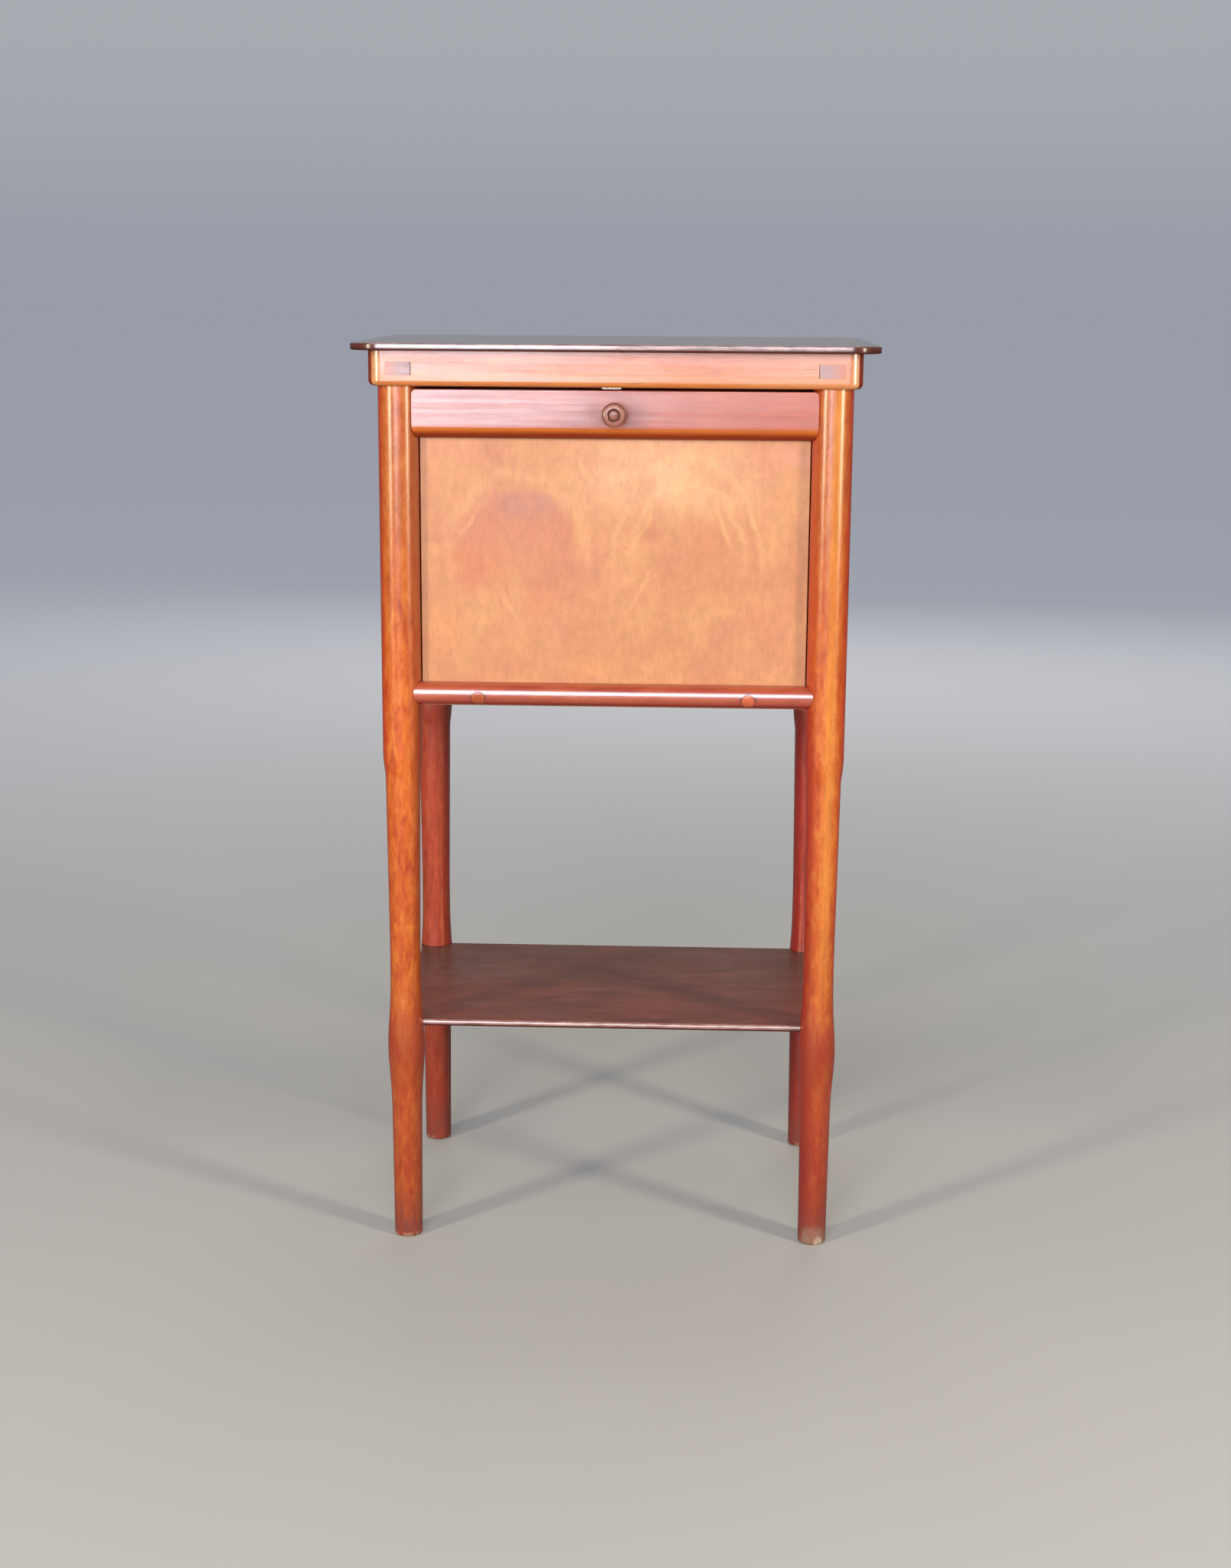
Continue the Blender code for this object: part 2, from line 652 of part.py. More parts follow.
# Plugs and screws of the bar
forward = (math.pi / 2, 0, 0)
backward = (-math.pi / 2, 0, 0)
plug_z = BAR_Z - BAR_PLUG_DROP
plug_floor = BAR_Y - BAR_PLUG_FLOOR
plug_surface = as_cutter(
    turned(
        "bar_plug_surface",
        rod_profile(BAR_RADIUS + BAR_PLUG_RISE, -BAR_HALF, BAR_HALF),
        ROUND_SIDES * 2,
        None,
        (0, BAR_Y, BAR_Z),
        level,
    )
)
bar_fittings = []
for side, sign in SIDES.items():
    x = sign * BAR_PLUG_X
    reach = BAR_RADIUS + CUT_PAST
    plug_hole = as_cutter(
        turned(
            f"bar_plug_{side}_hole",
            rod_profile(BAR_PLUG_RADIUS + SEAT_GAP, 0, reach),
            ROUND_SIDES,
            None,
            (x, plug_floor, plug_z),
            forward,
        )
    )
    carve(flap_bar, plug_hole)
    plug = turned(
        f"bar_plug_{side}",
        rod_profile(BAR_PLUG_RADIUS, SEAT_GAP, reach),
        ROUND_SIDES,
        PLUG_WOOD,
        (x, plug_floor, plug_z),
        forward,
    )
    carve(plug, plug_surface, operation="INTERSECT")
    bar_screw = countersunk_screw(
        f"bar_screw_{side}",
        BAR_SCREW,
        (x, plug_floor, plug_z),
        backward,
        flap_bar,
        flap_panel,
    )
    bar_fittings += [plug, bar_screw]

# Knob, with a tenon in the rail and a screw from inside
neck = KNOB_COLLAR_THICKNESS + KNOB_NECK_LENGTH
widest = neck + KNOB_BACK_LENGTH
face = widest + KNOB_FRONT_LENGTH
groove = (KNOB_RING_RADIUS + KNOB_BUTTON_RADIUS) / 2
knob = turned(
    "knob",
    [
        (0, -KNOB_TENON_LENGTH),
        (KNOB_TENON_RADIUS, -KNOB_TENON_LENGTH),
        (KNOB_TENON_RADIUS, SEAT_GAP),
        (KNOB_COLLAR_RADIUS, SEAT_GAP),
        (KNOB_COLLAR_RADIUS, KNOB_COLLAR_THICKNESS),
        *quarter(KNOB_NECK_RADIUS, neck, KNOB_RADIUS, widest, CORNER_STEPS),
        *quarter(KNOB_RADIUS, widest, KNOB_FACE_RADIUS, face, EDGE_STEPS, outward=False)[1:],
        (KNOB_RING_RADIUS, face),
        (groove, face - KNOB_GROOVE_DEPTH),
        (KNOB_BUTTON_RADIUS, face),
        (0, face + KNOB_BUTTON_RISE),
    ],
    ROUND_SIDES,
    KNOB_WOOD,
    (0, FLAP_RAIL_FACE_Y, KNOB_Z),
    forward,
)
knob_hole = as_cutter(
    turned(
        "knob_hole",
        rod_profile(KNOB_TENON_RADIUS + SEAT_GAP, -KNOB_TENON_LENGTH - SEAT_GAP, CUT_PAST),
        ROUND_SIDES,
        None,
        (0, FLAP_RAIL_FACE_Y, KNOB_Z),
        forward,
    )
)
carve(flap_rail, knob_hole)
knob_screw = countersunk_screw(
    "knob_screw", KNOB_SCREW, (0, FLAP_BACK_Y, KNOB_Z), forward, flap_panel, flap_rail, knob
)

for piece in [flap_panel, flap_rail, flap_bar, knob, knob_screw, *bar_fittings]:
    hang(piece, hinge)

# Leaf-spring catch on the inner side of the front apron, bent forward under it
half_sheet = CATCH_THICKNESS / 2
sheet_y = -APRON_INNER_Y + SEAT_GAP + half_sheet
sheet_z = APRON_BOTTOM - SEAT_GAP - half_sheet
nose_z = FLAP_TOP + CATCH_GAP + half_sheet
bends = [
    (sheet_y, APRON_BOTTOM + CATCH_RISE),
    (sheet_y, sheet_z),
    (sheet_y - CATCH_FLAT, sheet_z),
    (sheet_y - CATCH_FLAT - CATCH_SLOPE, nose_z),
    (sheet_y - CATCH_FLAT - 2 * CATCH_SLOPE, sheet_z),
]
shape = bmesh.new()
line = [shape.verts.new((CATCH_OFFSET - CATCH_WIDTH / 2, y, z)) for y, z in bends]
edges = [shape.edges.new(pair) for pair in zip(line, line[1:])]
widened = bmesh.ops.extrude_edge_only(shape, edges=edges)
far_side = [item for item in widened["geom"] if isinstance(item, bmesh.types.BMVert)]
bmesh.ops.translate(shape, vec=(CATCH_WIDTH, 0, 0), verts=far_side)
catch_spring = piece_from("catch_spring", shape, SPRING_METAL)
sheet = catch_spring.modifiers.new("sheet", "SOLIDIFY")
sheet.thickness = CATCH_THICKNESS
sheet.offset = 0
sheet.use_even_offset = True

shank, _, head_height, length = CATCH_SCREW
for side, sign in SIDES.items():
    screw(
        f"catch_screw_{side}",
        round_headed(CATCH_SCREW),
        rod_profile(shank + SEAT_GAP, 0, length + SEAT_GAP),
        (
            CATCH_OFFSET + sign * CATCH_SCREW_SPREAD / 2,
            sheet_y + half_sheet + SEAT_GAP + head_height,
            APRON_BOTTOM + CATCH_SCREW_RISE,
        ),
        forward,
        catch_spring,
        aprons["front"],
    )
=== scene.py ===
"""Looks of a nightstand on four turned legs, in stained and polished beech: a thin dark
top on a mitred apron, a cupboard with a drop front, and a dark shelf near the floor.

Metres, +Z up, front towards -Y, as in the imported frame.
"""

import math

import bmesh
import bpy
from mathutils import Euler, Matrix, Vector


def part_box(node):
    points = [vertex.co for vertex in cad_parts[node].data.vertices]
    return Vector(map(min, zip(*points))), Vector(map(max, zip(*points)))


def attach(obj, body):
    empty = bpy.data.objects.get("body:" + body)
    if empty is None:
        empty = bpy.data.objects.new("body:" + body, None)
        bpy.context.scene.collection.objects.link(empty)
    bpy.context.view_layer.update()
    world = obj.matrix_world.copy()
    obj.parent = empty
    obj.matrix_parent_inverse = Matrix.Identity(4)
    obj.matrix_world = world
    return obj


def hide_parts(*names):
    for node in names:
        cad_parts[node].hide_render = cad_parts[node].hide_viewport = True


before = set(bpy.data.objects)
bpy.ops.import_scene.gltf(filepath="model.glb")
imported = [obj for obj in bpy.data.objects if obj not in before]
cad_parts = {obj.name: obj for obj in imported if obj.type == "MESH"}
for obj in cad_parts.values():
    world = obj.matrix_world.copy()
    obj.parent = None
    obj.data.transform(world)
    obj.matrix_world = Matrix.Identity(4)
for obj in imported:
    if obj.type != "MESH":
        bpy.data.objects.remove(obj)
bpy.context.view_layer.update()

# Legs
LEG_X = 0.1791
LEG_Y = 0.1190
LEG_RADIUS = 0.0167
SHOULDER_TOP = 0.4360
SHOULDER_FOOT = 0.4165
SHOULDER_CURVE = 1.5  # fuller above, with a crease at its foot
SHANK_RADIUS = 0.0148
WAIST_HEIGHT = 0.2700
WAIST_RADIUS = 0.0132
SWELL_HEIGHT = 0.1750
SWELL_RADIUS = 0.0160
SWELL_SPREAD = 0.0330
ANKLE_HEIGHT = 0.1000
ANKLE_RADIUS = 0.0130
FOOT_RADIUS = 0.0122
FOOT_ROUND = 0.0020

# Top, apron and shelf
TOP_CORNER = 0.0260
TOP_EDGE = 0.0014
APRON_X = 0.2019
APRON_Y = 0.1418
APRON_INNER_X = 0.1819
APRON_INNER_Y = 0.1218
APRON_TOP = 0.7737
APRON_BOTTOM = 0.7452
APRON_CORNER = 0.0120
APRON_LOWER_ROUND = 0.0045
APRON_PLUG_ARRIS = 0.0002
SHELF_CORNER = 0.0040
SHELF_EDGE = 0.0026

# Cupboard and drop front
RAIL_ROUND = 0.0022
BOARD_ARRIS = 0.0005
FLOOR_ARRIS = 0.0008
BAR_Y = -0.1215
BAR_Z = 0.4890
BAR_RADIUS = 0.00965
BAR_HALF = 0.1684
BAR_END_ROUND = 0.0008
FLAP_HALF = 0.1616
FLAP_FACE_Y = -0.1190
FLAP_BACK_Y = -0.1130
FLAP_ARRIS = 0.0006
FLAP_RAIL_FACE_Y = -0.1315
FLAP_RAIL_ROUND = 0.0095
FLAP_RAIL_CORNER = 0.0035
FLAP_RAIL_ARRIS = 0.0009
BAR_PLUG_X = 0.1136
BAR_PLUG_Z = 0.4860
BAR_PLUG_RADIUS = 0.0055
BAR_PLUG_FLOOR_Y = -0.1255
BAR_PLUG_RIM_Y = BAR_PLUG_FLOOR_Y - 0.0020  # the rim lies in front of this
BAR_PLUG_RISE = 0.0004
BAR_PLUG_CROWN = 0.0003
KNOB_Z = 0.7237
KNOB_GROOVE = 0.0045  # radius of the groove in its face

# Catch
STRIP = 0.0007  # thickness
CATCH_FLAT_RUN = 0.0026
CATCH_NOSE_RUN = 0.0060
CATCH_BEND = 0.0004

# Joints between pieces
SEAT_GAP = 0.0003
SWING_GAP = 0.0008
PLUG_JOINT = 0.00008
PLUG_CRACK = 0.0003  # further open at the inner end
CUT_PAST = 0.0050

# Fineness
LEG_SIDES = 56
ROUND_SIDES = 64
SCREW_SIDES = 32
PROUD_SIDES = 128
SMOOTH_ANGLE = math.radians(32)
TOUCH = 1e-5  # nearer than this to a plane is on it
PLACE_DIGITS = 6

SIDES = {"left": -1, "right": 1}
ENDS = {"front": -1, "back": 1}
CORNERS = [(end, side) for end in ENDS for side in SIDES]
X_AXIS, Y_AXIS, Z_AXIS = 0, 1, 2


# Bench tools


def let_go():
    """Deselects everything, so that the next tool acts only on what is then chosen."""
    bpy.ops.object.select_all(action="DESELECT")


def choose(piece):
    """Selects one piece alone and makes it the active one."""
    let_go()
    piece.select_set(True)
    bpy.context.view_layer.objects.active = piece


def settle(name):
    """Names the piece just started and leaves its place in its mesh."""
    piece = bpy.context.object
    piece.name = name
    piece.data.name = name
    bpy.ops.object.transform_apply(location=True, rotation=True, scale=True)
    return piece


def block(name, low, high):
    low, high = Vector(low), Vector(high)
    let_go()
    bpy.ops.mesh.primitive_cube_add(size=1, location=(low + high) / 2, scale=high - low)
    return settle(name)


def room(name, low, high):
    """A tool that leaves a box its place with a gap all round."""
    margin = Vector((SEAT_GAP, SEAT_GAP, SEAT_GAP))
    return block(name, Vector(low) - margin, Vector(high) + margin)


def rod(name, start, end, radius, sides=ROUND_SIDES):
    start, end = Vector(start), Vector(end)
    run = end - start
    let_go()
    bpy.ops.mesh.primitive_cylinder_add(
        vertices=sides, radius=radius, depth=run.length, location=(start + end) / 2,
        rotation=run.to_track_quat("Z", "Y").to_euler(),
    )
    return settle(name)


def pick(piece, kind, test):
    """Opens a piece for editing, with only the faces or edges selected that pass the test."""
    choose(piece)
    bpy.ops.object.mode_set(mode="EDIT")
    bpy.ops.mesh.select_mode(type=kind[:-1].upper())
    bpy.ops.mesh.select_all(action="DESELECT")
    shape = bmesh.from_edit_mesh(piece.data)
    for item in getattr(shape, kind):
        if test(item):
            item.select_set(True)
    bmesh.update_edit_mesh(piece.data)


def put_down():
    bpy.ops.object.mode_set(mode="OBJECT")


def everywhere(item):
    return True


def middle(edge):
    return (edge.verts[0].co + edge.verts[1].co) / 2


def runs(edge, axis):
    """Whether an edge runs along this axis."""
    way = (edge.verts[1].co - edge.verts[0].co).normalized()
    return abs(way[axis]) > 0.99


def along(axis):
    """A test for edges that run along this axis."""
    return lambda edge: runs(edge, axis)


def below(height):
    """A test for edges that lie at this height or lower."""
    return lambda edge: all(end.co.z < height + TOUCH for end in edge.verts)


def round_over(piece, test, radius, steps):
    """Rounds the edges that pass the test."""
    pick(piece, "edges", test)
    bpy.ops.mesh.bevel(offset=radius, segments=steps, profile=0.5, affect="EDGES")
    put_down()


def saw(piece, point, away):
    """Saws a piece along a plane, and drops what lies on the side that away points to."""
    pick(piece, "faces", everywhere)
    bpy.ops.mesh.bisect(plane_co=point, plane_no=away, use_fill=True, clear_outer=True)
    put_down()


def modify(piece, kind, **settings):
    """Puts a modifier on a piece and applies it."""
    choose(piece)
    step = piece.modifiers.new(kind.lower(), kind)
    for setting, value in settings.items():
        setattr(step, setting, value)
    bpy.ops.object.modifier_apply(modifier=step.name)


def cut(piece, *tools, way="DIFFERENCE"):
    """Cuts each tool's shape out of a piece, or keeps only what lies in it."""
    for tool in tools:
        modify(piece, "BOOLEAN", operation=way, solver="EXACT", object=tool)


def put_away(*tools):
    for tool in tools:
        bpy.data.objects.remove(tool, do_unlink=True)


def copy(piece, name, move=(0, 0, 0)):
    """A copy with its own mesh, moved to its place."""
    choose(piece)
    bpy.ops.object.duplicate()
    bpy.context.object.location = move
    return settle(name)


def line_up(piece):
    """Puts the corners, edges and faces of a piece under edit in one order, by their places."""
    shape = bmesh.from_edit_mesh(piece.data)
    places = (
        (shape.verts, lambda corner: corner.co),
        (shape.edges, middle),
        (shape.faces, lambda face: face.calc_center_median()),
    )
    for parts, place in places:
        ranks = {part: [round(each, PLACE_DIGITS) for each in place(part)] for part in parts}
        for number, part in enumerate(sorted(parts, key=ranks.get)):
            part.index = number
        parts.sort()
    bmesh.update_edit_mesh(piece.data)


def lathe(name, profile, sides=ROUND_SIDES):
    """Turns a piece about the Z axis through (radius, height) rings, from a disc at the first."""
    radius, height = profile[0]
    let_go()
    bpy.ops.mesh.primitive_circle_add(
        vertices=sides, radius=radius, fill_type="NGON", location=(0, 0, height)
    )
    piece = settle(name)
    pick(piece, "faces", everywhere)
    for wider, higher in profile[1:]:
        bpy.ops.mesh.extrude_region_move(TRANSFORM_OT_translate={"value": (0, 0, higher - height)})
        share = wider / radius
        bpy.ops.transform.resize(value=(share, share, 1), center_override=(0, 0, higher))
        radius, height = wider, higher
    bpy.ops.mesh.select_all(action="SELECT")
    bpy.ops.mesh.normals_make_consistent(inside=False)
    line_up(piece)
    put_down()
    return piece


def quarter(from_radius, from_height, to_radius, to_height, count, outward=True):
    """Rings of a quarter round, which leaves square to the axis if outward and else along it."""
    wider, higher = to_radius - from_radius, to_height - from_height
    rings = []
    for number in range(count + 1):
        turn = math.pi / 2 * number / count
        near, far = math.sin(turn), 1 - math.cos(turn)
        radial, axial = (near, far) if outward else (far, near)
        rings.append((from_radius + wider * radial, from_height + higher * axial))
    return rings


def point_forward(piece, place):
    """Turns a lathe piece so that its upper end faces the front, and sets its foot at the place."""
    choose(piece)
    piece.rotation_euler = (math.pi / 2, 0, 0)
    piece.location = place
    settle(piece.name)


def fit(piece, body, finish, node):
    """Smooths a piece, gives it its finish, and hangs it on its body in place of its CAD node."""
    choose(piece)
    bpy.ops.object.shade_smooth_by_angle(angle=SMOOTH_ANGLE)
    modify(piece, "WEIGHTED_NORMAL", keep_sharp=True)
    piece.data.materials.clear()
    piece.data.materials.append(finish)
    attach(piece, body)
    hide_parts(node)


# Finishes


def tone(red, green, blue):
    """A colour as seen on a screen, from 0 to 255, as the light values that a shader takes."""

    def light(level):
        level /= 255
        return level / 12.92 if level <= 0.04045 else ((level + 0.055) / 1.055) ** 2.4

    return (light(red), light(green), light(blue), 1.0)


WHITE = (1.0, 1.0, 1.0, 1.0)
SHADE = (0.62, 0.62, 0.62, 1.0)
PORE_DEPTH = 0.00003
CLOUD_SPAN = (0.30, 0.72)


class Nodes:
    """A node tree in the making, with short ways to add its steps."""

    def __init__(self, tree):
        self.tree = tree

    def add(self, kind, inputs=(), **options):
        step = self.tree.nodes.new("ShaderNode" + kind)
        for option, value in options.items():
            setattr(step, option, value)
        for key, value in dict(inputs).items():
            if isinstance(value, bpy.types.NodeSocket):
                self.tree.links.new(value, step.inputs[key])
            else:
                step.inputs[key].default_value = value
        return step

    def ease(self, value, low, high, to_low, to_high, way="SMOOTHSTEP"):
        """Carries a value from one span over to another, softly as a rule, and holds it there."""
        spans = {"From Min": low, "From Max": high, "To Min": to_low, "To Max": to_high}
        return self.add("MapRange", {"Value": value, **spans}, interpolation_type=way).outputs[0]

    def rise(self, value, low, high, share=1.0):
        return self.ease(value, low, high, 0.0, share)

    def fade(self, value, low, high, share=1.0):
        return self.ease(value, low, high, share, 0.0)

    def sum(self, operation, *values):
        return self.add("Math", dict(enumerate(values)), operation=operation).outputs[0]

    def times(self, first, *others):
        for each in others:
            first = self.sum("MULTIPLY", first, each)
        return first

    def away(self, value, mark):
        return self.sum("ABSOLUTE", self.sum("SUBTRACT", value, mark))

    def slant(self, across, up):
        """The long side over two sides at a right angle."""
        squares = [self.sum("MULTIPLY", each, each) for each in (across, up)]
        return self.sum("SQRT", self.sum("ADD", *squares))

    def mix(self, share, under, over, way="MIX"):
        step = self.add("Mix", {0: share, 6: under, 7: over}, data_type="RGBA", blend_type=way)
        return step.outputs[2]


class Finish(Nodes):
    """A finish in the making: its colour so far, and the shader that it ends in."""

    def __init__(self, name, **sockets):
        self.material = bpy.data.materials.new(name)
        self.material.use_nodes = True
        super().__init__(self.material.node_tree)
        self.shader = self.tree.nodes["Principled BSDF"]
        for socket, value in sockets.items():
            self.shader.inputs[socket.replace("_", " ")].default_value = value
        self.place = self.add("TexCoord").outputs["Object"]
        self.x, self.y, self.z = self.add("SeparateXYZ", {"Vector": self.place}).outputs
        self.colour = WHITE

    def wire(self, value, socket):
        self.tree.links.new(value, self.shader.inputs[socket])

    def noise(self, scale, detail=3.0, rough=0.5, wander=0.0, shift=(0, 0, 0), turn=(0, 0, 0)):
        """Soft random values, with so many changes to the metre along each axis."""
        spread = {"Vector": self.place, "Location": shift, "Rotation": turn, "Scale": scale}
        fineness = {"Scale": 1.0, "Detail": detail, "Roughness": rough, "Distortion": wander}
        place = self.add("Mapping", spread).outputs[0]
        return self.add("TexNoise", {"Vector": place, **fineness}).outputs[0]

    def ramp(self, value, *stops):
        step = self.add("ValToRGB", {0: value})
        marks = step.color_ramp.elements
        while len(marks) < len(stops):
            marks.new(0.5)
        for mark, (at, colour) in zip(marks, stops):
            mark.position = at
            mark.color = colour
        return step.outputs[0]

    def paint(self, colour, *shares):
        """Lays a colour over what is there, by the product of its shares."""
        self.colour = self.mix(self.times(*shares), self.colour, colour)

    def darken(self, share, values, low=0.34, high=0.60):
        """Shades what is there where the values are low."""
        shade = self.ramp(values, (low, SHADE), (high, WHITE))
        self.colour = self.mix(share, self.colour, shade, "MULTIPLY")

    def adrift(self, scale, reach):
        """The place, led astray by soft random shifts of up to about half the reach."""
        drift = self.add("TexNoise", {"Vector": self.place, "Scale": scale, "Detail": 3.0})
        halves = {0: drift.outputs["Color"], 1: (0.5, 0.5, 0.5)}
        drift = self.add("VectorMath", halves, operation="SUBTRACT")
        drift = self.add("VectorMath", {0: drift.outputs[0], "Scale": reach}, operation="SCALE")
        return self.add("VectorMath", {0: self.place, 1: drift.outputs[0]}).outputs[0]

    def near(self, point, size, lean=0.0, place=None):
        """One at a point, falling softly to nothing at this size from it, leaning about Y."""
        spread = {"Location": point, "Rotation": (0, lean, 0), "Scale": size}
        spread["Vector"] = place or self.place
        away = self.add("Mapping", spread, vector_type="TEXTURE")
        length = self.add("VectorMath", {0: away.outputs[0]}, operation="LENGTH")
        return self.fade(length.outputs["Value"], 0.0, 1.0)

    def off_line(self, x, z):
        """The distance from a line that runs along Y at this x and z."""
        return self.slant(self.sum("SUBTRACT", self.x, x), self.sum("SUBTRACT", self.z, z))

    def close(self, clouds, rough, relief, depth=PORE_DEPTH, span=CLOUD_SPAN):
        """Wires the colour, a roughness that follows clouds, and relief to the shader."""
        self.wire(self.colour, "Base Color")
        self.wire(self.ease(clouds, *span, *rough), "Roughness")
        bump = self.add("Bump", {"Strength": 1.0, "Distance": depth, "Height": relief}).outputs[0]
        self.wire(bump, "Normal")
        self.wire(bump, "Coat Normal")
        return self.material


def polished(name, roughness, strength, gleam=0.1):
    """A finish under a coat of polish."""
    coat = {"Coat_Weight": 1.0, "Coat_Roughness": roughness, "Coat_IOR": strength}
    return Finish(name, Specular_IOR_Level=gleam, **coat)


def lengthwise(axis, across, along):
    """Changes to the metre for a pattern that is drawn out along one axis."""
    return [along if each == axis else across for each in range(3)]


def stain(wood, axis, dark, mid, pale, shift=(0, 0, 0), fine=1.0):
    """Stain that has taken in patches, drawn out along the grain."""
    scale = lengthwise(axis, 62 * fine, 20 * fine)
    patches = wood.noise(scale, detail=5.0, rough=0.66, wander=0.3, shift=shift)
    return wood.ramp(patches, (0.32, dark), (0.50, mid), (0.68, pale))


def grain(wood, axis, dark, shift=(0, 0, 0)):
    """Lays the grain of beech along an axis over a stain, and gives its clouds and fibres."""
    wood.darken(0.28, wood.noise(lengthwise(axis, 300, 10), rough=0.6, shift=shift), 0.36, 0.58)
    fibres = wood.noise(lengthwise(axis, 1150, 60), rough=0.6)
    wood.darken(0.25, fibres)
    rays = wood.noise(lengthwise(axis, 1500, 240), detail=0.0)
    wood.paint(dark, wood.rise(rays, 0.64, 0.74, 0.30))
    clouds = wood.noise((11, 11, 11), detail=4.0, rough=0.6)
    wood.paint(dark, wood.rise(clouds, 0.48, 0.75, 0.30))
    return clouds, fibres


def beech(wood, axis, dark, mid, pale, shift):
    wood.colour = stain(wood, axis, dark, mid, pale, shift)
    return grain(wood, axis, dark, shift)


def streaky(wood, axis):
    """Polish that lies thinner over the open grain, in streaks along an axis."""
    thick = wood.noise(lengthwise(axis, 330, 7), detail=4.0, rough=0.65, shift=(5.0, 8.0, 1.0))
    return wood.ease(thick, 0.34, 0.60, 0.68, 1.0)


LEG_FINE = 2.6
RAIL_SHIFT = (3.1, 7.7, 5.3)
RAIL_TONES = tone(202, 102, 56), tone(220, 122, 72), tone(230, 140, 88)


def polished_legs():
    """Legs, tan above, orange below, redder low down and behind, soiled and chipped at the feet,
    with painted shade on their flanks, at the swelling and on the back legs, and a painted
    highlight.
    """
    wood = polished("polished_legs", 0.25, 1.85)
    x, y, z = wood.x, wood.y, wood.z
    dark = tone(192, 68, 16)
    orange = dark, tone(226, 106, 28), tone(243, 140, 49)
    wood.colour = stain(wood, Z_AXIS, *orange, fine=LEG_FINE)
    tan = tone(174, 92, 38), tone(196, 114, 52), tone(210, 132, 68)
    drifts = wood.noise((30, 30, 14), detail=4.0, rough=0.6, shift=(6.0, 2.0, 3.0))
    wood.paint(
        stain(wood, Z_AXIS, *tan, fine=LEG_FINE),
        wood.rise(z, 0.46, 0.70, 0.8),
        wood.ease(drifts, 0.36, 0.62, 1.0, 0.7),
    )
    # A redder stain low down, more on the right; on the back legs partly that stain, partly painted
    # shade
    behind = wood.times(wood.rise(y, -0.09, 0.09), wood.ease(x, -0.17, 0.17, 0.75, 0.95))
    low = wood.times(wood.fade(z, 0.04, 0.26, 0.75), wood.ease(x, -0.17, 0.17, 0.35, 1.0))
    crimson = tone(156, 38, 30), tone(186, 56, 42), tone(204, 82, 62)
    wood.paint(
        stain(wood, Z_AXIS, *crimson, (1.7, 4.2, 0.6), LEG_FINE),
        wood.sum("MAXIMUM", low, behind),
    )

    # Painted shade on the outer and inner flanks of each leg, deepest inside low on the right,
    # and a painted highlight on the front right leg
    outward = wood.sum("SUBTRACT", wood.sum("ABSOLUTE", x), LEG_X)
    to_right = wood.rise(x, -0.1, 0.1)
    low_right = wood.times(to_right, wood.fade(z, 0.40, 0.52))
    wood.paint(tone(200, 48, 12), wood.rise(outward, 0.0085, 0.0158, 0.75))
    flank = wood.mix(to_right, tone(156, 56, 16), tone(190, 48, 16))
    flank = wood.mix(low_right, flank, tone(176, 28, 28))
    wood.paint(flank, wood.fade(outward, -0.0164, -0.0066, 0.85))
    wood.paint(tone(184, 40, 32), low_right, wood.fade(outward, -0.0140, -0.0010, 0.7))
    # Painted highlight down the front right leg, above its swelling
    wood.paint(
        tone(248, 164, 70),
        wood.rise(outward, -0.004, 0.002, 0.5),
        wood.fade(outward, 0.005, 0.010),
        wood.rise(z, 0.18, 0.28),
        to_right,
        wood.fade(y, -0.02, 0.02),
    )
    lower = wood.fade(z, 0.14, 0.24)
    wood.paint(tone(170, 30, 32), wood.fade(outward, -0.012, 0.000, 0.65), lower, to_right)

    # Painted shade on the back legs, towards the inside and under the cupboard
    inner = wood.fade(outward, -0.0150, -0.0040, 0.70)
    under = wood.times(wood.rise(z, 0.34, 0.46, 0.6), wood.fade(z, 0.46, 0.50))
    wood.paint(
        tone(148, 34, 22),
        wood.sum("MAXIMUM", inner, under),
        wood.rise(y, 0.0, 0.09),
        wood.fade(y, LEG_Y, LEG_Y + 0.010),
    )
    clouds, fibres = grain(wood, Z_AXIS, dark)

    # Painted shade at the swelling, darker towards the bottom, then dirt and wear at the feet
    wood.paint(tone(168, 56, 28), wood.fade(wood.away(z, SWELL_HEIGHT), 0.0, 0.05, 0.60))
    wood.paint(tone(132, 46, 30), wood.fade(z, 0.02, 0.42, 0.38))
    scuffs = wood.noise((150, 150, 50), detail=5.0, rough=0.7)
    soil = wood.ease(scuffs, 0.34, 0.62, 0.3, 1.0)
    wood.paint(tone(136, 66, 56), wood.fade(z, 0.006, 0.055, 0.9), soil)
    wear_and_highlight = wood.rise(scuffs, 0.46, 0.58)
    wood.paint(tone(186, 136, 112), wood.fade(z, 0.0005, 0.006), wear_and_highlight)
    tip = wood.near((LEG_X + 0.001, -LEG_Y - 0.012, 0.002), (0.022, 0.022, 0.024))
    worn = wood.ease(scuffs, 0.30, 0.52, 0.3, 1.0)
    wood.paint(tone(158, 118, 100), wood.rise(tip, 0.05, 0.6), worn)
    chip = wood.near((LEG_X + 0.0050, -LEG_Y - 0.011, 0.002), (0.0058, 0.0075, 0.0094))
    bare = wood.ease(scuffs, 0.30, 0.5, 0.5, 1.0)
    wood.paint(tone(214, 196, 168), wood.rise(chip, 0.05, 0.60), bare)
    return wood.close(clouds, (0.42, 0.56), fibres)


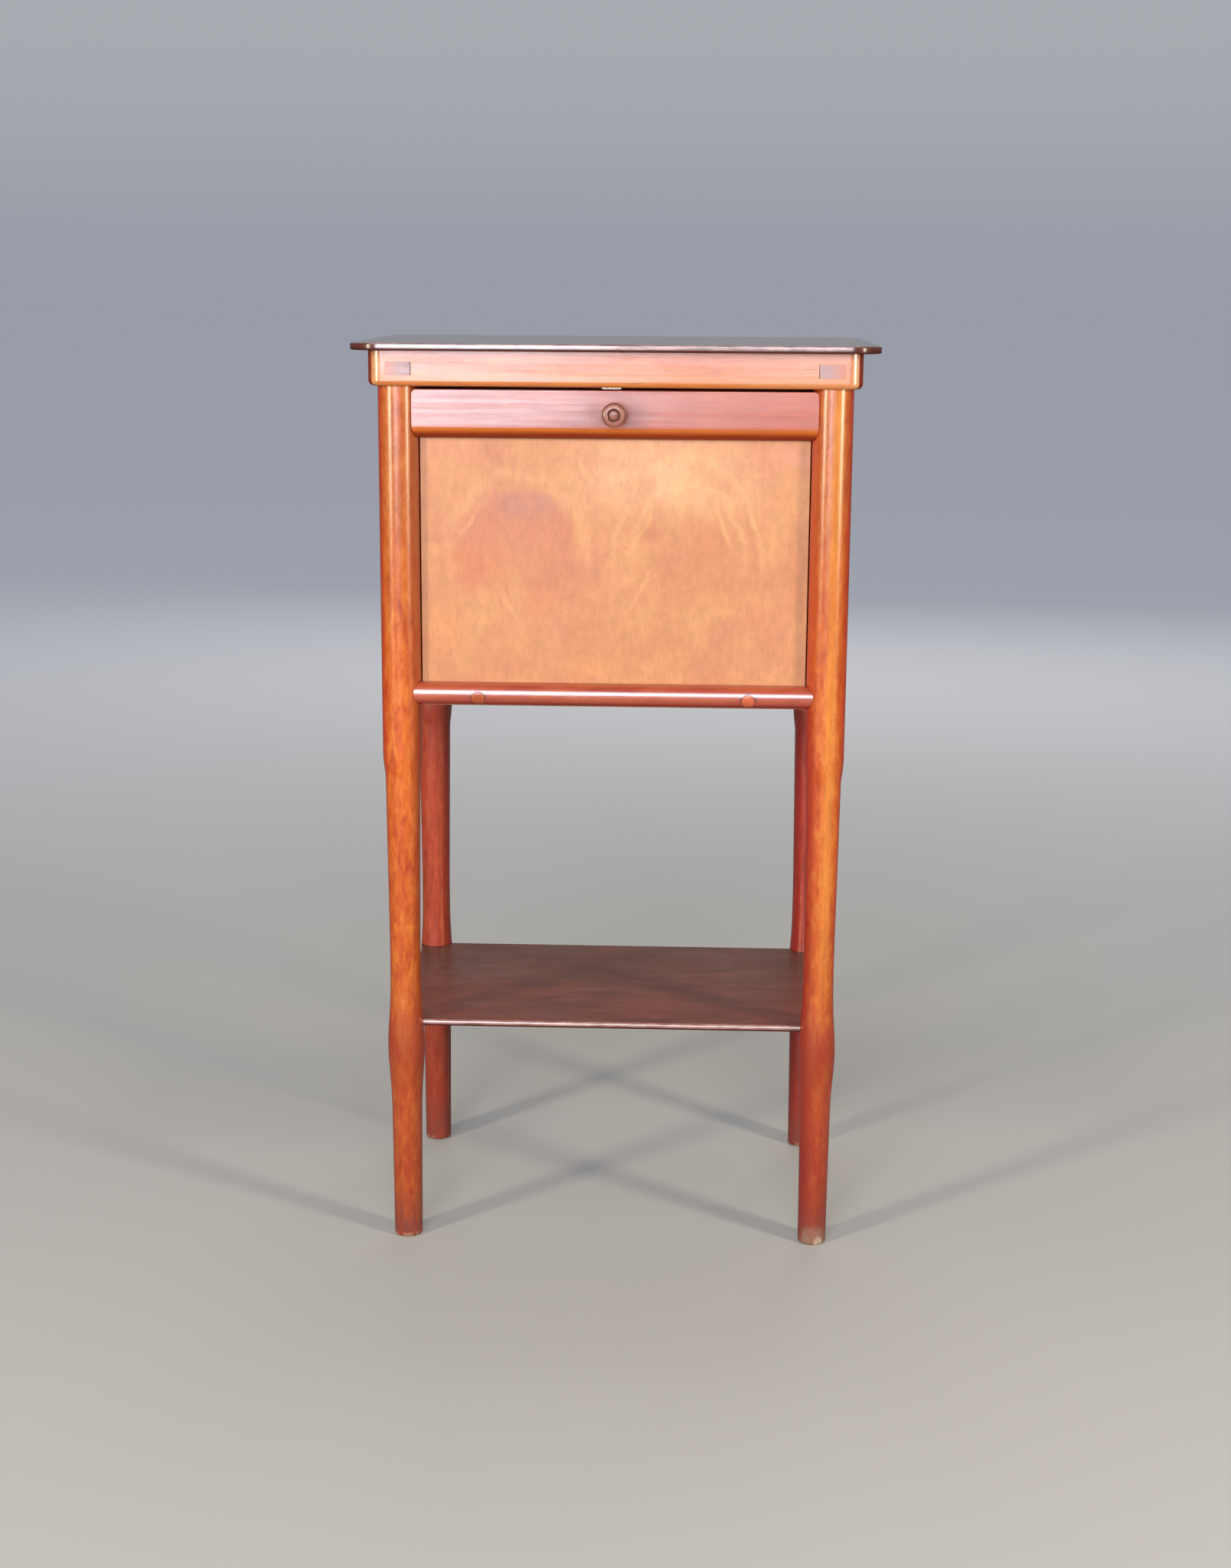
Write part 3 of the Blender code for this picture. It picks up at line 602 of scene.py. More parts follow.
def polished_rails(name, axis):
    """Stained beech of the aprons and rails, grained along an axis, with a few pale scratches.
    Grained endways it has painted shade on the corner rounds; grained across, a painted highlight
    down each corner round and towards the right.
    """
    wood = polished(name, 0.26, 2.25)
    coat = streaky(wood, axis)
    clouds, fibres = beech(wood, axis, *RAIL_TONES, RAIL_SHIFT)
    if axis == Y_AXIS:
        # Painted shade, under duller polish, on the corner rounds
        ends = wood.rise(wood.sum("ABSOLUTE", wood.y), LEG_Y + 0.002, APRON_Y - 0.010)
        wood.paint(tone(124, 36, 20), ends, 0.92)
        coat = wood.times(coat, wood.ease(ends, 0.0, 1.0, 1.0, 0.12))
    else:
        # Painted highlight towards the right end
        wood.paint(tone(238, 176, 148), wood.rise(wood.x, 0.06, 0.16, 0.4))
        lower = wood.fade(wood.z, APRON_BOTTOM + 0.004, APRON_BOTTOM + 0.021, 0.55)
        wood.paint(tone(226, 142, 60), lower)
        # Painted highlight down the middle of each corner round
        sides = [wood.sum("ABSOLUTE", each) for each in (wood.x, wood.y)]
        reach = APRON_X + APRON_Y
        wear_and_highlight = wood.rise(wood.sum("ADD", *sides), reach - 0.0105, reach - 0.0075, 0.28)
        wood.paint(tone(246, 206, 160), wear_and_highlight)
    wood.wire(coat, "Coat Weight")
    pores = wood.noise(lengthwise(axis, 640, 34), detail=2.0, rough=0.6, shift=(2.0, 6.0, 9.0))
    wood.paint(tone(150, 74, 52), wood.rise(pores, 0.60, 0.72, 0.42))
    lines = wood.noise((1500, 1500, 30), detail=0.0, turn=(0, math.radians(62), 0))
    scratches = wood.rise(lines, 0.74, 0.80)
    wood.paint(tone(235, 190, 160), scratches, wood.rise(clouds, 0.5, 0.62), 0.15)
    return wood.close(clouds, (0.32, 0.46), fibres)


def polished_bar():
    """The hinge bar: a darker red below its middle that is painted shade, dark red along the board,
    with dirt over the rims of its plugs.
    """
    wood = polished("polished_bar", 0.28, 3.3)
    dark = tone(180, 60, 30)
    reds = dark, tone(208, 84, 42), tone(224, 108, 58)
    wood.colour = stain(wood, X_AXIS, *reds, RAIL_SHIFT)
    # Painted shade below the middle
    wood.paint(tone(186, 46, 32), wood.fade(wood.z, BAR_Z - 0.0085, BAR_Z - 0.0010, 0.85))
    wood.paint(tone(138, 44, 24), wood.rise(wood.z, BAR_Z + 0.0062, BAR_Z + 0.0095, 0.7))
    above = wood.rise(wood.z, BAR_PLUG_Z - 0.003, BAR_PLUG_Z + 0.002)
    for side, share in (("left", 0.6), ("right", 0.9)):
        off = wood.off_line(SIDES[side] * BAR_PLUG_X, BAR_PLUG_Z)
        dirt = wood.fade(off, BAR_PLUG_RADIUS + 0.0006, BAR_PLUG_RADIUS + 0.0030, share)
        wood.paint(tone(96, 26, 22), dirt, above)
    clouds, fibres = grain(wood, X_AXIS, dark, RAIL_SHIFT)
    return wood.close(clouds, (0.34, 0.48), fibres)


def drop_rail():
    """The drop front's rail, with its polish worn to orange over the lower round, painted shade
    beneath, greyer and duller round the knob.
    """
    wood = polished("polished_drop_rail", 0.27, 2.75)
    dark = tone(166, 72, 52)
    reds = dark, tone(186, 88, 64), tone(198, 106, 78)
    wood.colour = stain(wood, X_AXIS, *reds, RAIL_SHIFT)
    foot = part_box("flap_rail")[0].z
    round_knob = (0, FLAP_RAIL_FACE_Y, KNOB_Z)
    # Greyer and duller round the knob
    near_knob = wood.near(round_knob, (0.040, 0.020, 0.022), place=wood.adrift(90, 0.012))
    coat = wood.times(
        wood.ease(wood.z, foot + 0.0070, foot + 0.0122, 0.06, 1.0),
        wood.ease(wood.x, -0.10, 0.10, 1.0, 0.66),
        streaky(wood, X_AXIS),
        wood.ease(near_knob, 0.0, 0.8, 1.0, 0.62),
    )
    wood.wire(coat, "Coat Weight")
    wood.paint(tone(214, 108, 62), wood.rise(wood.x, -0.04, 0.10, 0.45))
    wood.paint(tone(150, 92, 80), wood.rise(near_knob, 0.0, 0.8, 0.40))
    wood.paint(tone(206, 112, 44), wood.fade(wood.z, foot + 0.0078, foot + 0.0112))
    # Painted shade along the underside
    wood.paint(tone(140, 44, 20), wood.fade(wood.z, foot + 0.0030, foot + 0.0080, 0.9))
    clouds, fibres = grain(wood, X_AXIS, dark, RAIL_SHIFT)
    return wood.close(clouds, (0.34, 0.48), fibres)


FLECKS = [  # pale strokes in the veneer, from and to, in X and Z
    ((-0.030, 0.687), (-0.020, 0.667)),
    ((0.017, 0.616), (0.034, 0.650)),
    ((0.012, 0.557), (0.029, 0.590)),
    ((0.084, 0.644), (0.098, 0.612)),
    ((0.112, 0.647), (0.127, 0.600)),
    ((-0.094, 0.578), (-0.084, 0.554)),
    ((-0.130, 0.622), (-0.113, 0.647)),
    ((0.050, 0.632), (0.060, 0.660)),
]
FLECK_WIDTH = 0.0036
FLECK_TAPER = 0.80
PATCHES = [  # stains, and painted sheen at the top: middle in X and Z, half width and height, share, tone
    (-0.076, 0.648, 0.046, 0.022, 0.55, tone(194, 136, 130)),
    (-0.094, 0.666, 0.020, 0.008, 0.40, tone(204, 138, 98)),
    (-0.046, 0.664, 0.020, 0.008, 0.40, tone(204, 138, 98)),
    (-0.120, 0.598, 0.036, 0.030, 0.50, tone(222, 122, 78)),
    (-0.053, 0.568, 0.036, 0.022, 0.35, tone(226, 138, 106)),
    (0.078, 0.618, 0.024, 0.050, 0.35, tone(218, 142, 98)),
    # Painted sheen: pinkish at the top corners, pale yellow along the top middle
    (-0.140, 0.692, 0.036, 0.014, 0.55, tone(230, 148, 124)),
    (0.146, 0.690, 0.034, 0.016, 0.55, tone(234, 160, 142)),
    (0.026, 0.676, 0.100, 0.056, 0.60, tone(252, 202, 156)),
    (0.092, 0.672, 0.070, 0.056, 0.40, tone(250, 194, 148)),
    (-0.144, 0.542, 0.030, 0.030, 0.45, tone(242, 164, 98)),
    (-0.018, 0.512, 0.036, 0.014, 0.45, tone(244, 172, 108)),
    (0.128, 0.560, 0.034, 0.030, 0.35, tone(228, 146, 116)),
]
FIGURE_DEPTH = 0.030


def plywood(name):
    """Rotary-cut veneer, blotched by its stain and rubbed by hand, with its broad clouds."""
    wood = Finish(name, Specular_IOR_Level=0.2, Coat_Weight=0.6, Coat_Roughness=0.34)
    broad = wood.noise((24, 24, 17), detail=6.0, rough=0.62, wander=0.5)
    tones = tone(212, 141, 103), tone(220, 153, 108), tone(229, 166, 114)
    wood.colour = wood.ramp(broad, *zip((0.30, 0.50, 0.70), tones))
    pinker = wood.noise((13, 13, 15), detail=5.0, rough=0.6, shift=(4.0, 1.0, 2.0))
    wood.paint(tone(218, 144, 115), wood.rise(pinker, 0.48, 0.70, 0.5))
    return wood, broad


def veneer_pores(wood):
    """Lays fine mottling and fibres over all the veneer's stains, and gives the fibres."""
    wood.darken(0.34, wood.noise((150, 150, 90), detail=6.0, rough=0.72))
    fibres = wood.noise((800, 800, 60), detail=4.0, rough=0.65, wander=0.4)
    wood.darken(0.15, fibres)
    return fibres


def plain_panel():
    wood, broad = plywood("panel_plywood")
    fibres = veneer_pores(wood)
    return wood.close(broad, (0.42, 0.56), fibres)


def figured_panel():
    """The drop front's outer side, with two soft arches in its figure, the left one darker, and
    painted sheen along its top.
    """
    wood, broad = plywood("figured_plywood")
    outer = wood.fade(wood.y, FLAP_FACE_Y + 0.001, FLAP_FACE_Y + 0.004)
    place = wood.adrift(38, 0.016)
    x, _, z = wood.add("SeparateXYZ", {"Vector": place}).outputs

    def arch(middle_x, spring_z, half_width, rise):
        """Nested arches about an upright line: one on the arch itself, growing outwards."""
        across = wood.sum("DIVIDE", wood.sum("SUBTRACT", x, middle_x), half_width)
        above = wood.sum("MAXIMUM", wood.sum("SUBTRACT", z, spring_z), 0.0)
        return wood.slant(across, wood.sum("DIVIDE", above, rise))

    left_arch = arch(-0.081, 0.606, 0.051, 0.058)
    upper = wood.rise(wood.z, 0.545, 0.640)
    wood.paint(tone(212, 132, 106), wood.fade(left_arch, 0.86, 1.06, 0.55), upper, outer)
    rim = wood.fade(wood.away(left_arch, 1.14), 0.0, 0.15, 0.28)
    wood.paint(tone(246, 182, 136), rim, upper, outer)
    blots = wood.noise((46, 46, 34), detail=6.0, rough=0.66, shift=(7.0, 3.0, 4.0))
    blots = wood.times(wood.ease(blots, 0.34, 0.62, 0.45, 1.15), outer)
    for middle_x, middle_z, half_width, half_height, share, shade in PATCHES:
        size = (half_width, FIGURE_DEPTH, half_height)
        patch = wood.near((middle_x, FLAP_FACE_Y, middle_z), size, place=place)
        wood.paint(shade, patch, blots, share)
    fibres = veneer_pores(wood)
    streaks = wood.noise((170, 170, 60), detail=4.0, rough=0.6)
    broken = wood.times(wood.ease(streaks, 0.34, 0.62, 0.35, 1.0), outer)
    right_arch = arch(0.061, 0.601, 0.0465, 0.066)
    upper = wood.rise(wood.z, 0.575, 0.625)
    for span, share in ((1.0, 0.34), (1.30, 0.26)):
        rim = wood.fade(wood.away(right_arch, span), 0.0, 0.09, share)
        wood.paint(tone(250, 194, 140), rim, broken, upper)
    little = wood.adrift(60, 0.010)
    for start, end in FLECKS:
        start, end = Vector(start), Vector(end)
        run = end - start
        middle_x, middle_z = (start + end) / 2
        size = (FLECK_WIDTH, FIGURE_DEPTH, run.length * FLECK_TAPER)
        lean = math.atan2(run.x, run.y)
        fleck = wood.near((middle_x, FLAP_FACE_Y, middle_z), size, lean, little)
        wood.paint(tone(250, 194, 132), fleck, broken, 0.42)
    return wood.close(broad, (0.42, 0.56), fibres)


def dark_board(name, node, shine, gloss, dark, mid, pale):
    """Dark stained board, grained from side to side, glossiest in front and dull and darker at its
    tips, with painted shade along its foot and a pale front edge, partly wear and partly painted
    highlight.
    """
    wood = polished(name, shine, 2.4, gleam=0.2)
    low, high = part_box(node)
    foot = wood.fade(wood.z, low.z + 0.0014, low.z + 0.0032)
    tips = wood.times(
        wood.rise(wood.sum("ABSOLUTE", wood.x), APRON_X - 0.016, APRON_X - 0.002),
        wood.fade(wood.z, high.z - 0.0012, high.z - 0.0003),
    )
    coat = wood.times(
        wood.ease(wood.y, low.y + 0.0008, low.y + 0.0030, 1.0, gloss),
        wood.ease(foot, 0.0, 1.0, 1.0, 0.15),
        wood.ease(tips, 0.0, 1.0, 1.0, 0.25),
    )
    wood.wire(coat, "Coat Weight")
    bands = wood.noise((16, 52, 52), detail=6.0, rough=0.7, wander=0.4)
    wood.colour = wood.ramp(bands, (0.32, dark), (0.50, mid), (0.68, pale))
    fibres = wood.noise((30, 1200, 1200), rough=0.6)
    wood.darken(0.2, fibres)
    clouds = wood.noise((16, 16, 16), detail=6.0, rough=0.68)
    wood.paint(pale, wood.rise(clouds, 0.46, 0.72, 0.6))
    wood.paint(tone(92, 68, 58), wood.rise(wood.y, -0.10, 0.10, 0.45))
    wood.paint(tone(92, 40, 36), tips, 0.85)
    # Painted shade along the foot of the edge
    wood.paint(tone(74, 28, 26), foot, 0.8)
    # A pale front edge, partly wear and partly painted highlight
    rubs_and_highlight = wood.noise((60, 400, 400), detail=4.0, rough=0.6)
    wood.paint(
        tone(208, 168, 162),
        wood.fade(wood.y, low.y + 0.0006, low.y + 0.0028, 0.75),
        wood.ease(rubs_and_highlight, 0.34, 0.60, 0.3, 1.0),
        wood.fade(foot, 0.0, 1.0),
        wood.fade(tips, 0.0, 0.6),
    )
    return wood.close(clouds, (0.42, 0.58), fibres, 0.00002)


def plug_wood(name, axis, dark, mid, pale, inner_end=0.0, blended=0.0):
    """Plugs, a little off the colour of the piece round them, with dirt on the end nearest the
    middle, a painted highlight towards the right, and blended by a share into the rail at the
    other."""
    wood = polished(name, 0.27, 1.9)
    clouds, fibres = beech(wood, axis, dark, mid, pale, (9.2, 1.4, 6.8))
    outward = wood.sum("ABSOLUTE", wood.x)
    dirt = wood.fade(outward, inner_end + 0.0001, inner_end + 0.0005, 0.95)
    wood.paint(tone(70, 34, 28), dirt)
    wood.paint(dark, wood.fade(outward, inner_end, inner_end + 0.008, 0.35))
    # Painted highlight, paler towards the right
    wood.paint(pale, wood.rise(wood.x, -0.1, 0.1, 0.7))
    outer_end = wood.rise(outward, inner_end + 0.006, inner_end + 0.026, 0.9)
    wood.paint(RAIL_TONES[1], outer_end, blended)
    return wood.close(clouds, (0.36, 0.50), fibres)


def knob_wood():
    """The knob, with painted shade round its rim and in the groove of its face, and a painted
    highlight on the ring inside its rim.
    """
    wood = polished("knob_wood", 0.24, 1.6, gleam=0.2)
    browns = tone(118, 62, 52), tone(154, 92, 78), tone(174, 110, 94)
    clouds, fibres = beech(wood, Y_AXIS, *browns, (2.2, 5.4, 0.8))
    off = wood.off_line(0, KNOB_Z)
    # Painted highlight on the ring inside the rim, painted shade on the rim and in the groove
    wood.paint(tone(198, 140, 124), wood.rise(off, 0.0052, 0.0066, 0.35))
    wood.paint(tone(84, 40, 34), wood.rise(off, 0.0080, 0.0096, 0.8))
    groove = wood.away(off, KNOB_GROOVE)
    wood.paint(tone(62, 30, 26), wood.fade(groove, 0.0003, 0.0011, 0.8))
    return wood.close(clouds, (0.32, 0.46), fibres)


def bare_wood():
    """Unpolished beech inside the cupboard."""
    wood = Finish("bare_wood")
    tans = tone(168, 116, 76), tone(194, 142, 98), tone(210, 162, 118)
    clouds, fibres = beech(wood, X_AXIS, *tans, (4.4, 2.6, 8.1))
    return wood.close(clouds, (0.55, 0.70), fibres, 0.00008)


def metal(name, marks_scale, dark, pale, spot_scale, spotted, spot_tone, rough):
    """Bare metal with fine marks, and duller spots."""
    finish = Finish(name, Metallic=1.0)
    marks = finish.noise(marks_scale)
    finish.colour = finish.ramp(marks, (0.35, dark), (0.65, pale))
    spots = finish.noise((spot_scale, spot_scale, spot_scale), detail=4.0)
    finish.paint(spot_tone, finish.rise(spots, *spotted))
    return finish.close(spots, rough, marks, 0.00001, (0.35, 0.70))


LEGS = polished_legs()
RAILS_ALONG_X = polished_rails("polished_rails_across", X_AXIS)
RAILS_ALONG_Y = polished_rails("polished_rails_endways", Y_AXIS)
BAR = polished_bar()
DROP_RAIL = drop_rail()
PANEL = plain_panel()
FRONT_PANEL = figured_panel()
TOP_BOARD = dark_board(
    "dark_top", "top_board", 0.18, 1.0, tone(72, 35, 27), tone(96, 49, 37), tone(122, 66, 51)
)
SHELF_BOARD = dark_board(
    "dark_shelf", "shelf", 0.22, 0.09, tone(112, 56, 44), tone(132, 72, 56), tone(150, 88, 70)
)
APRON_PLUG = plug_wood(
    "apron_plug", X_AXIS, tone(136, 76, 70), tone(152, 89, 83), tone(196, 160, 158),
    inner_end=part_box("apron_plug_front_right")[0].x + PLUG_CRACK, blended=1.0,
)
BAR_PLUG_TONES = {
    "left": (tone(190, 88, 50), tone(212, 110, 62), tone(224, 130, 80)),
    "right": (tone(190, 76, 46), tone(212, 96, 60), tone(224, 116, 76)),
}
BAR_PLUGS = {
    side: plug_wood(f"{side}_bar_plug", Z_AXIS, *tones) for side, tones in BAR_PLUG_TONES.items()
}
KNOB = knob_wood()
INSIDE = bare_wood()
nickel, tarnish = (tone(196, 188, 172), tone(222, 216, 204)), tone(150, 128, 98)
NICKEL = metal(
    "spring_nickel", (2500, 60, 60), *nickel, 260, (0.52, 0.72, 0.6), tarnish, (0.24, 0.48)
)
steel, rust = (tone(140, 134, 126), tone(178, 174, 168)), tone(112, 74, 50)
STEEL = metal(
    "screw_steel", (1600, 1600, 1600), *steel, 420, (0.54, 0.70, 0.7), rust, (0.30, 0.60)
)


# Top and shelf


def rounded_board(name, node, corner, edge, corner_steps):
    """A thin board with rounded corners and a rounded edge all round."""
    piece = block(name, *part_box(node))
    round_over(piece, along(Z_AXIS), corner, corner_steps)
    round_over(piece, lambda each: not runs(each, Z_AXIS), edge, steps=5)
    return piece


top = rounded_board("dark_top", "top_board", TOP_CORNER, TOP_EDGE, corner_steps=14)
fit(top, "cabinet", TOP_BOARD, "top_board")
shelf = rounded_board("dark_shelf", "shelf", SHELF_CORNER, SHELF_EDGE, corner_steps=6)
fit(shelf, "cabinet", SHELF_BOARD, "shelf")


# Aprons, sawn from one rounded ring along the mitres

ring = block("apron_ring", (-APRON_X, -APRON_Y, APRON_BOTTOM), (APRON_X, APRON_Y, APRON_TOP))
round_over(ring, along(Z_AXIS), APRON_CORNER, steps=16)
round_over(ring, below(APRON_BOTTOM), APRON_LOWER_ROUND, steps=7)
pockets = {
    (end, side): room(f"pocket_{end}_{side}", *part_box(f"apron_plug_{end}_{side}"))
    for end, side in CORNERS
}
FACINGS = {
    "front": ((0, -1, 0), (1, 0, 0)),
    "back": ((0, 1, 0), (1, 0, 0)),
    "left": ((-1, 0, 0), (0, 1, 0)),
    "right": ((1, 0, 0), (0, 1, 0)),
}
for facing, (outward, sideways) in FACINGS.items():
    outward, sideways = Vector(outward), Vector(sideways)
    apron = copy(ring, f"{facing}_apron")
    saw(apron, outward * Vector((APRON_INNER_X, APRON_INNER_Y, 0)), -outward)
    for way in (sideways, -sideways):
        mitre = (way - outward).normalized()
        corner = (way + outward) * Vector((APRON_X, APRON_Y, 0))
        saw(apron, corner - mitre * SEAT_GAP / 2, mitre)
    cut(apron, *[pocket for (end, side), pocket in pockets.items() if end == facing])
    finish = RAILS_ALONG_X if facing in ENDS else RAILS_ALONG_Y
    fit(apron, "cabinet", finish, f"apron_{facing}")
put_away(ring, *pockets.values())

for end, side in CORNERS:
    node = f"apron_plug_{end}_{side}"
    low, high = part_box(node)
    tight = SEAT_GAP - PLUG_JOINT
    if side == "left":
        low, high = low + Vector((-tight, 0, -tight)), high + Vector((-PLUG_CRACK, 0, tight))
    else:
        low, high = low + Vector((PLUG_CRACK, 0, -tight)), high + Vector((tight, 0, tight))
    plug = block(f"{end}_{side}_plug", low, high)
    round_over(plug, along(Y_AXIS), APRON_PLUG_ARRIS, steps=2)
    fit(plug, "cabinet", APRON_PLUG, node)


# Legs, turned once and copied

LEG_TAPER = [
    (0, FOOT_RADIUS),
    (ANKLE_HEIGHT, ANKLE_RADIUS),
    (WAIST_HEIGHT, WAIST_RADIUS),
    (SHOULDER_FOOT, SHANK_RADIUS),
]


def taper(height):
    """Leg radius below the shoulder, without its swelling."""
    for (low, at_low), (high, at_high) in zip(LEG_TAPER, LEG_TAPER[1:]):
        if height < high:
            return at_low + (at_high - at_low) * (height - low) / (high - low)


def leg_radius(height):
    """A taper with one soft swelling, and a shoulder up to the straight top."""
    if height >= SHOULDER_TOP:
        return LEG_RADIUS
    if height >= SHOULDER_FOOT:
        share = (SHOULDER_TOP - height) / (SHOULDER_TOP - SHOULDER_FOOT)
        return LEG_RADIUS - (LEG_RADIUS - SHANK_RADIUS) * share**SHOULDER_CURVE
    swell = SWELL_RADIUS - taper(SWELL_HEIGHT)
    return taper(height) + swell * math.exp(-(((height - SWELL_HEIGHT) / SWELL_SPREAD) ** 2))


def spaced(low, high, count):
    return [low + (high - low) * number / count for number in range(count)]


leg_heights = spaced(0, SHOULDER_FOOT, 60) + spaced(SHOULDER_FOOT, SHOULDER_TOP, 12)
leg_heights += spaced(SHOULDER_TOP, APRON_TOP, 20) + [APRON_TOP]
leg = lathe("turned_leg", [(leg_radius(height), height) for height in leg_heights], LEG_SIDES)
round_over(leg, below(0), FOOT_ROUND, steps=5)

bar_ends = (-BAR_HALF, BAR_Y, BAR_Z), (BAR_HALF, BAR_Y, BAR_Z)
bar_socket = rod("bar_socket", *bar_ends, BAR_RADIUS + SEAT_GAP)
shelf_room = room("shelf_room", *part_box("shelf"))
panel_rooms = {
    node: room(f"{node}_room", *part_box(node))
    for node in ("side_panel_left", "side_panel_right", "back_panel")
}
foot, head = APRON_BOTTOM - SEAT_GAP, APRON_TOP + CUT_PAST
for end, side in CORNERS:
    across, back = SIDES[side], ENDS[end]
    post = copy(leg, f"{end}_{side}_leg", (across * LEG_X, back * LEG_Y, 0))
    near_x, far_x = sorted((across * (APRON_X + CUT_PAST), across * (APRON_INNER_X - SEAT_GAP)))
    near_y, far_y = sorted((back * (APRON_Y + CUT_PAST), back * (APRON_INNER_Y - SEAT_GAP)))
    tools = [
        block("side_apron_room", (near_x, -APRON_Y, foot), (far_x, APRON_Y, head)),
        block("end_apron_room", (-APRON_X, near_y, foot), (APRON_X, far_y, head)),
    ]
    fixed = [shelf_room, panel_rooms[f"side_panel_{side}"]]
    fixed.append(bar_socket if end == "front" else panel_rooms["back_panel"])
    cut(post, *tools, *fixed)
    put_away(*tools)
    fit(post, "cabinet", LEGS, f"leg_{end}_{side}")
put_away(leg, shelf_room, bar_socket)


# Cupboard: lower rails, boards and floor


def leg_room(name, end, side, top, gap, sides=ROUND_SIDES):
    """A tool that leaves the straight part of a leg its place with a gap round it."""
    x, y = SIDES[side] * LEG_X, ENDS[end] * LEG_Y
    return rod(name, (x, y, SHOULDER_TOP), (x, y, top), LEG_RADIUS + gap, sides)


leg_rooms = {
    (end, side): leg_room(f"{end}_{side}_leg_room", end, side, head, SEAT_GAP)
    for end, side in CORNERS
}
WALLS = {  # each wall's lower rail and panel, and the way of its grain
    "left": ("side_rail_left", "side_panel_left", Y_AXIS, RAILS_ALONG_Y),
    "right": ("side_rail_right", "side_panel_right", Y_AXIS, RAILS_ALONG_Y),
    "back": ("back_rail", "back_panel", X_AXIS, RAILS_ALONG_X),
}
for wall, (rail_node, panel_node, axis, finish) in WALLS.items():
    rail = block(f"{wall}_lower_rail", *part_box(rail_node))
    round_over(rail, along(axis), RAIL_ROUND, steps=4)
    legs = [tool for corner, tool in leg_rooms.items() if wall in corner]
    cut(rail, *legs, panel_rooms[panel_node])
    fit(rail, "cabinet", finish, rail_node)
    board = block(f"{wall}_board", *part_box(panel_node))
    round_over(board, everywhere, BOARD_ARRIS, steps=2)
    fit(board, "cabinet", PANEL, panel_node)

cupboard_floor = block("cupboard_floor", *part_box("floor_board"))
round_over(cupboard_floor, along(X_AXIS), FLOOR_ARRIS, steps=3)
cut(cupboard_floor, *leg_rooms.values())
fit(cupboard_floor, "cabinet", INSIDE, "floor_board")
put_away(*leg_rooms.values(), *panel_rooms.values())


# Drop front: board, rail, bar and knob

flap_board = block("drop_front_board", *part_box("flap_panel"))
round_over(flap_board, everywhere, FLAP_ARRIS, steps=3)
fit(flap_board, "flap", FRONT_PANEL, "flap_panel")

low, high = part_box("flap_rail")
flap_rail = block("drop_front_rail", low, high)


def upper_corner(edge):
    return runs(edge, Y_AXIS) and middle(edge).z > high.z - TOUCH


def front_foot(edge):
    place = middle(edge)
    return runs(edge, X_AXIS) and place.z < low.z + TOUCH and place.y < low.y + TOUCH


def front_rim(edge):
    in_front = all(end.co.y < low.y + TOUCH for end in edge.verts)
    return in_front and middle(edge).z > high.z - FLAP_RAIL_CORNER - FLAP_RAIL_ARRIS


round_over(flap_rail, upper_corner, FLAP_RAIL_CORNER, steps=6)
round_over(flap_rail, front_foot, FLAP_RAIL_ROUND, steps=12)
round_over(flap_rail, front_rim, FLAP_RAIL_ARRIS, steps=3)
for side in SIDES:
    swing_room = leg_room("swing_room", "front", side, APRON_TOP, SWING_GAP, LEG_SIDES)
    cut(flap_rail, swing_room)
    put_away(swing_room)
fit(flap_rail, "flap", DROP_RAIL, "flap_rail")

bar = rod("hinge_bar", *bar_ends, BAR_RADIUS)
round_over(bar, lambda each: abs(middle(each).x) > BAR_HALF - TOUCH, BAR_END_ROUND, steps=2)
past = BAR_RADIUS + CUT_PAST
rebate = block(
    "rebate",
    (-FLAP_HALF - SEAT_GAP, FLAP_FACE_Y - SEAT_GAP, BAR_Z - past),
    (FLAP_HALF + SEAT_GAP, BAR_Y + past, BAR_Z + past),
)
cut(bar, rebate)
put_away(rebate)
proud = rod("proud_bar", *bar_ends, BAR_RADIUS + BAR_PLUG_RISE, PROUD_SIDES)
for side, sign in SIDES.items():
    start = Vector((sign * BAR_PLUG_X, BAR_PLUG_FLOOR_Y, BAR_PLUG_Z))
    end = start + Vector((0, -past, 0))
    hole = rod("plug_hole", start, end, BAR_PLUG_RADIUS + SEAT_GAP)
    cut(bar, hole)
    put_away(hole)
    plug = rod(f"{side}_bar_plug", start, end, BAR_PLUG_RADIUS)
    cut(plug, proud, way="INTERSECT")
    round_over(plug, lambda each: middle(each).y < BAR_PLUG_RIM_Y, BAR_PLUG_CROWN, steps=2)
    fit(plug, "flap", BAR_PLUGS[side], f"bar_plug_{side}")
put_away(proud)
fit(bar, "flap", BAR, "flap_bar")

KNOB_PROFILE = [  # radius and height, from the tenon to the button in its face
    (0.0040, -0.0080), (0.0040, 0.0003), (0.0068, 0.0003), (0.0072, 0.0007),
    (0.0072, 0.0014), (0.0066, 0.0018), (0.0054, 0.0026), (0.0050, 0.0046),
    *quarter(0.0050, 0.0074, 0.0100, 0.0160, 10),
    *quarter(0.0100, 0.0160, 0.0074, 0.0200, 7, outward=False)[1:],
    (0.0068, 0.0203), (0.0056, 0.0204), (0.0051, 0.0201), (0.0048, 0.0194),
    (KNOB_GROOVE, 0.0192), (0.0042, 0.0194), (0.0039, 0.0201), (0.0034, 0.0205),
    (0.0020, 0.0207), (0.0008, 0.0208),
]
knob = lathe("turned_knob", KNOB_PROFILE)
point_forward(knob, (0, FLAP_RAIL_FACE_Y, KNOB_Z))
fit(knob, "flap", KNOB, "knob")


# Screws that show, with a slot in the head

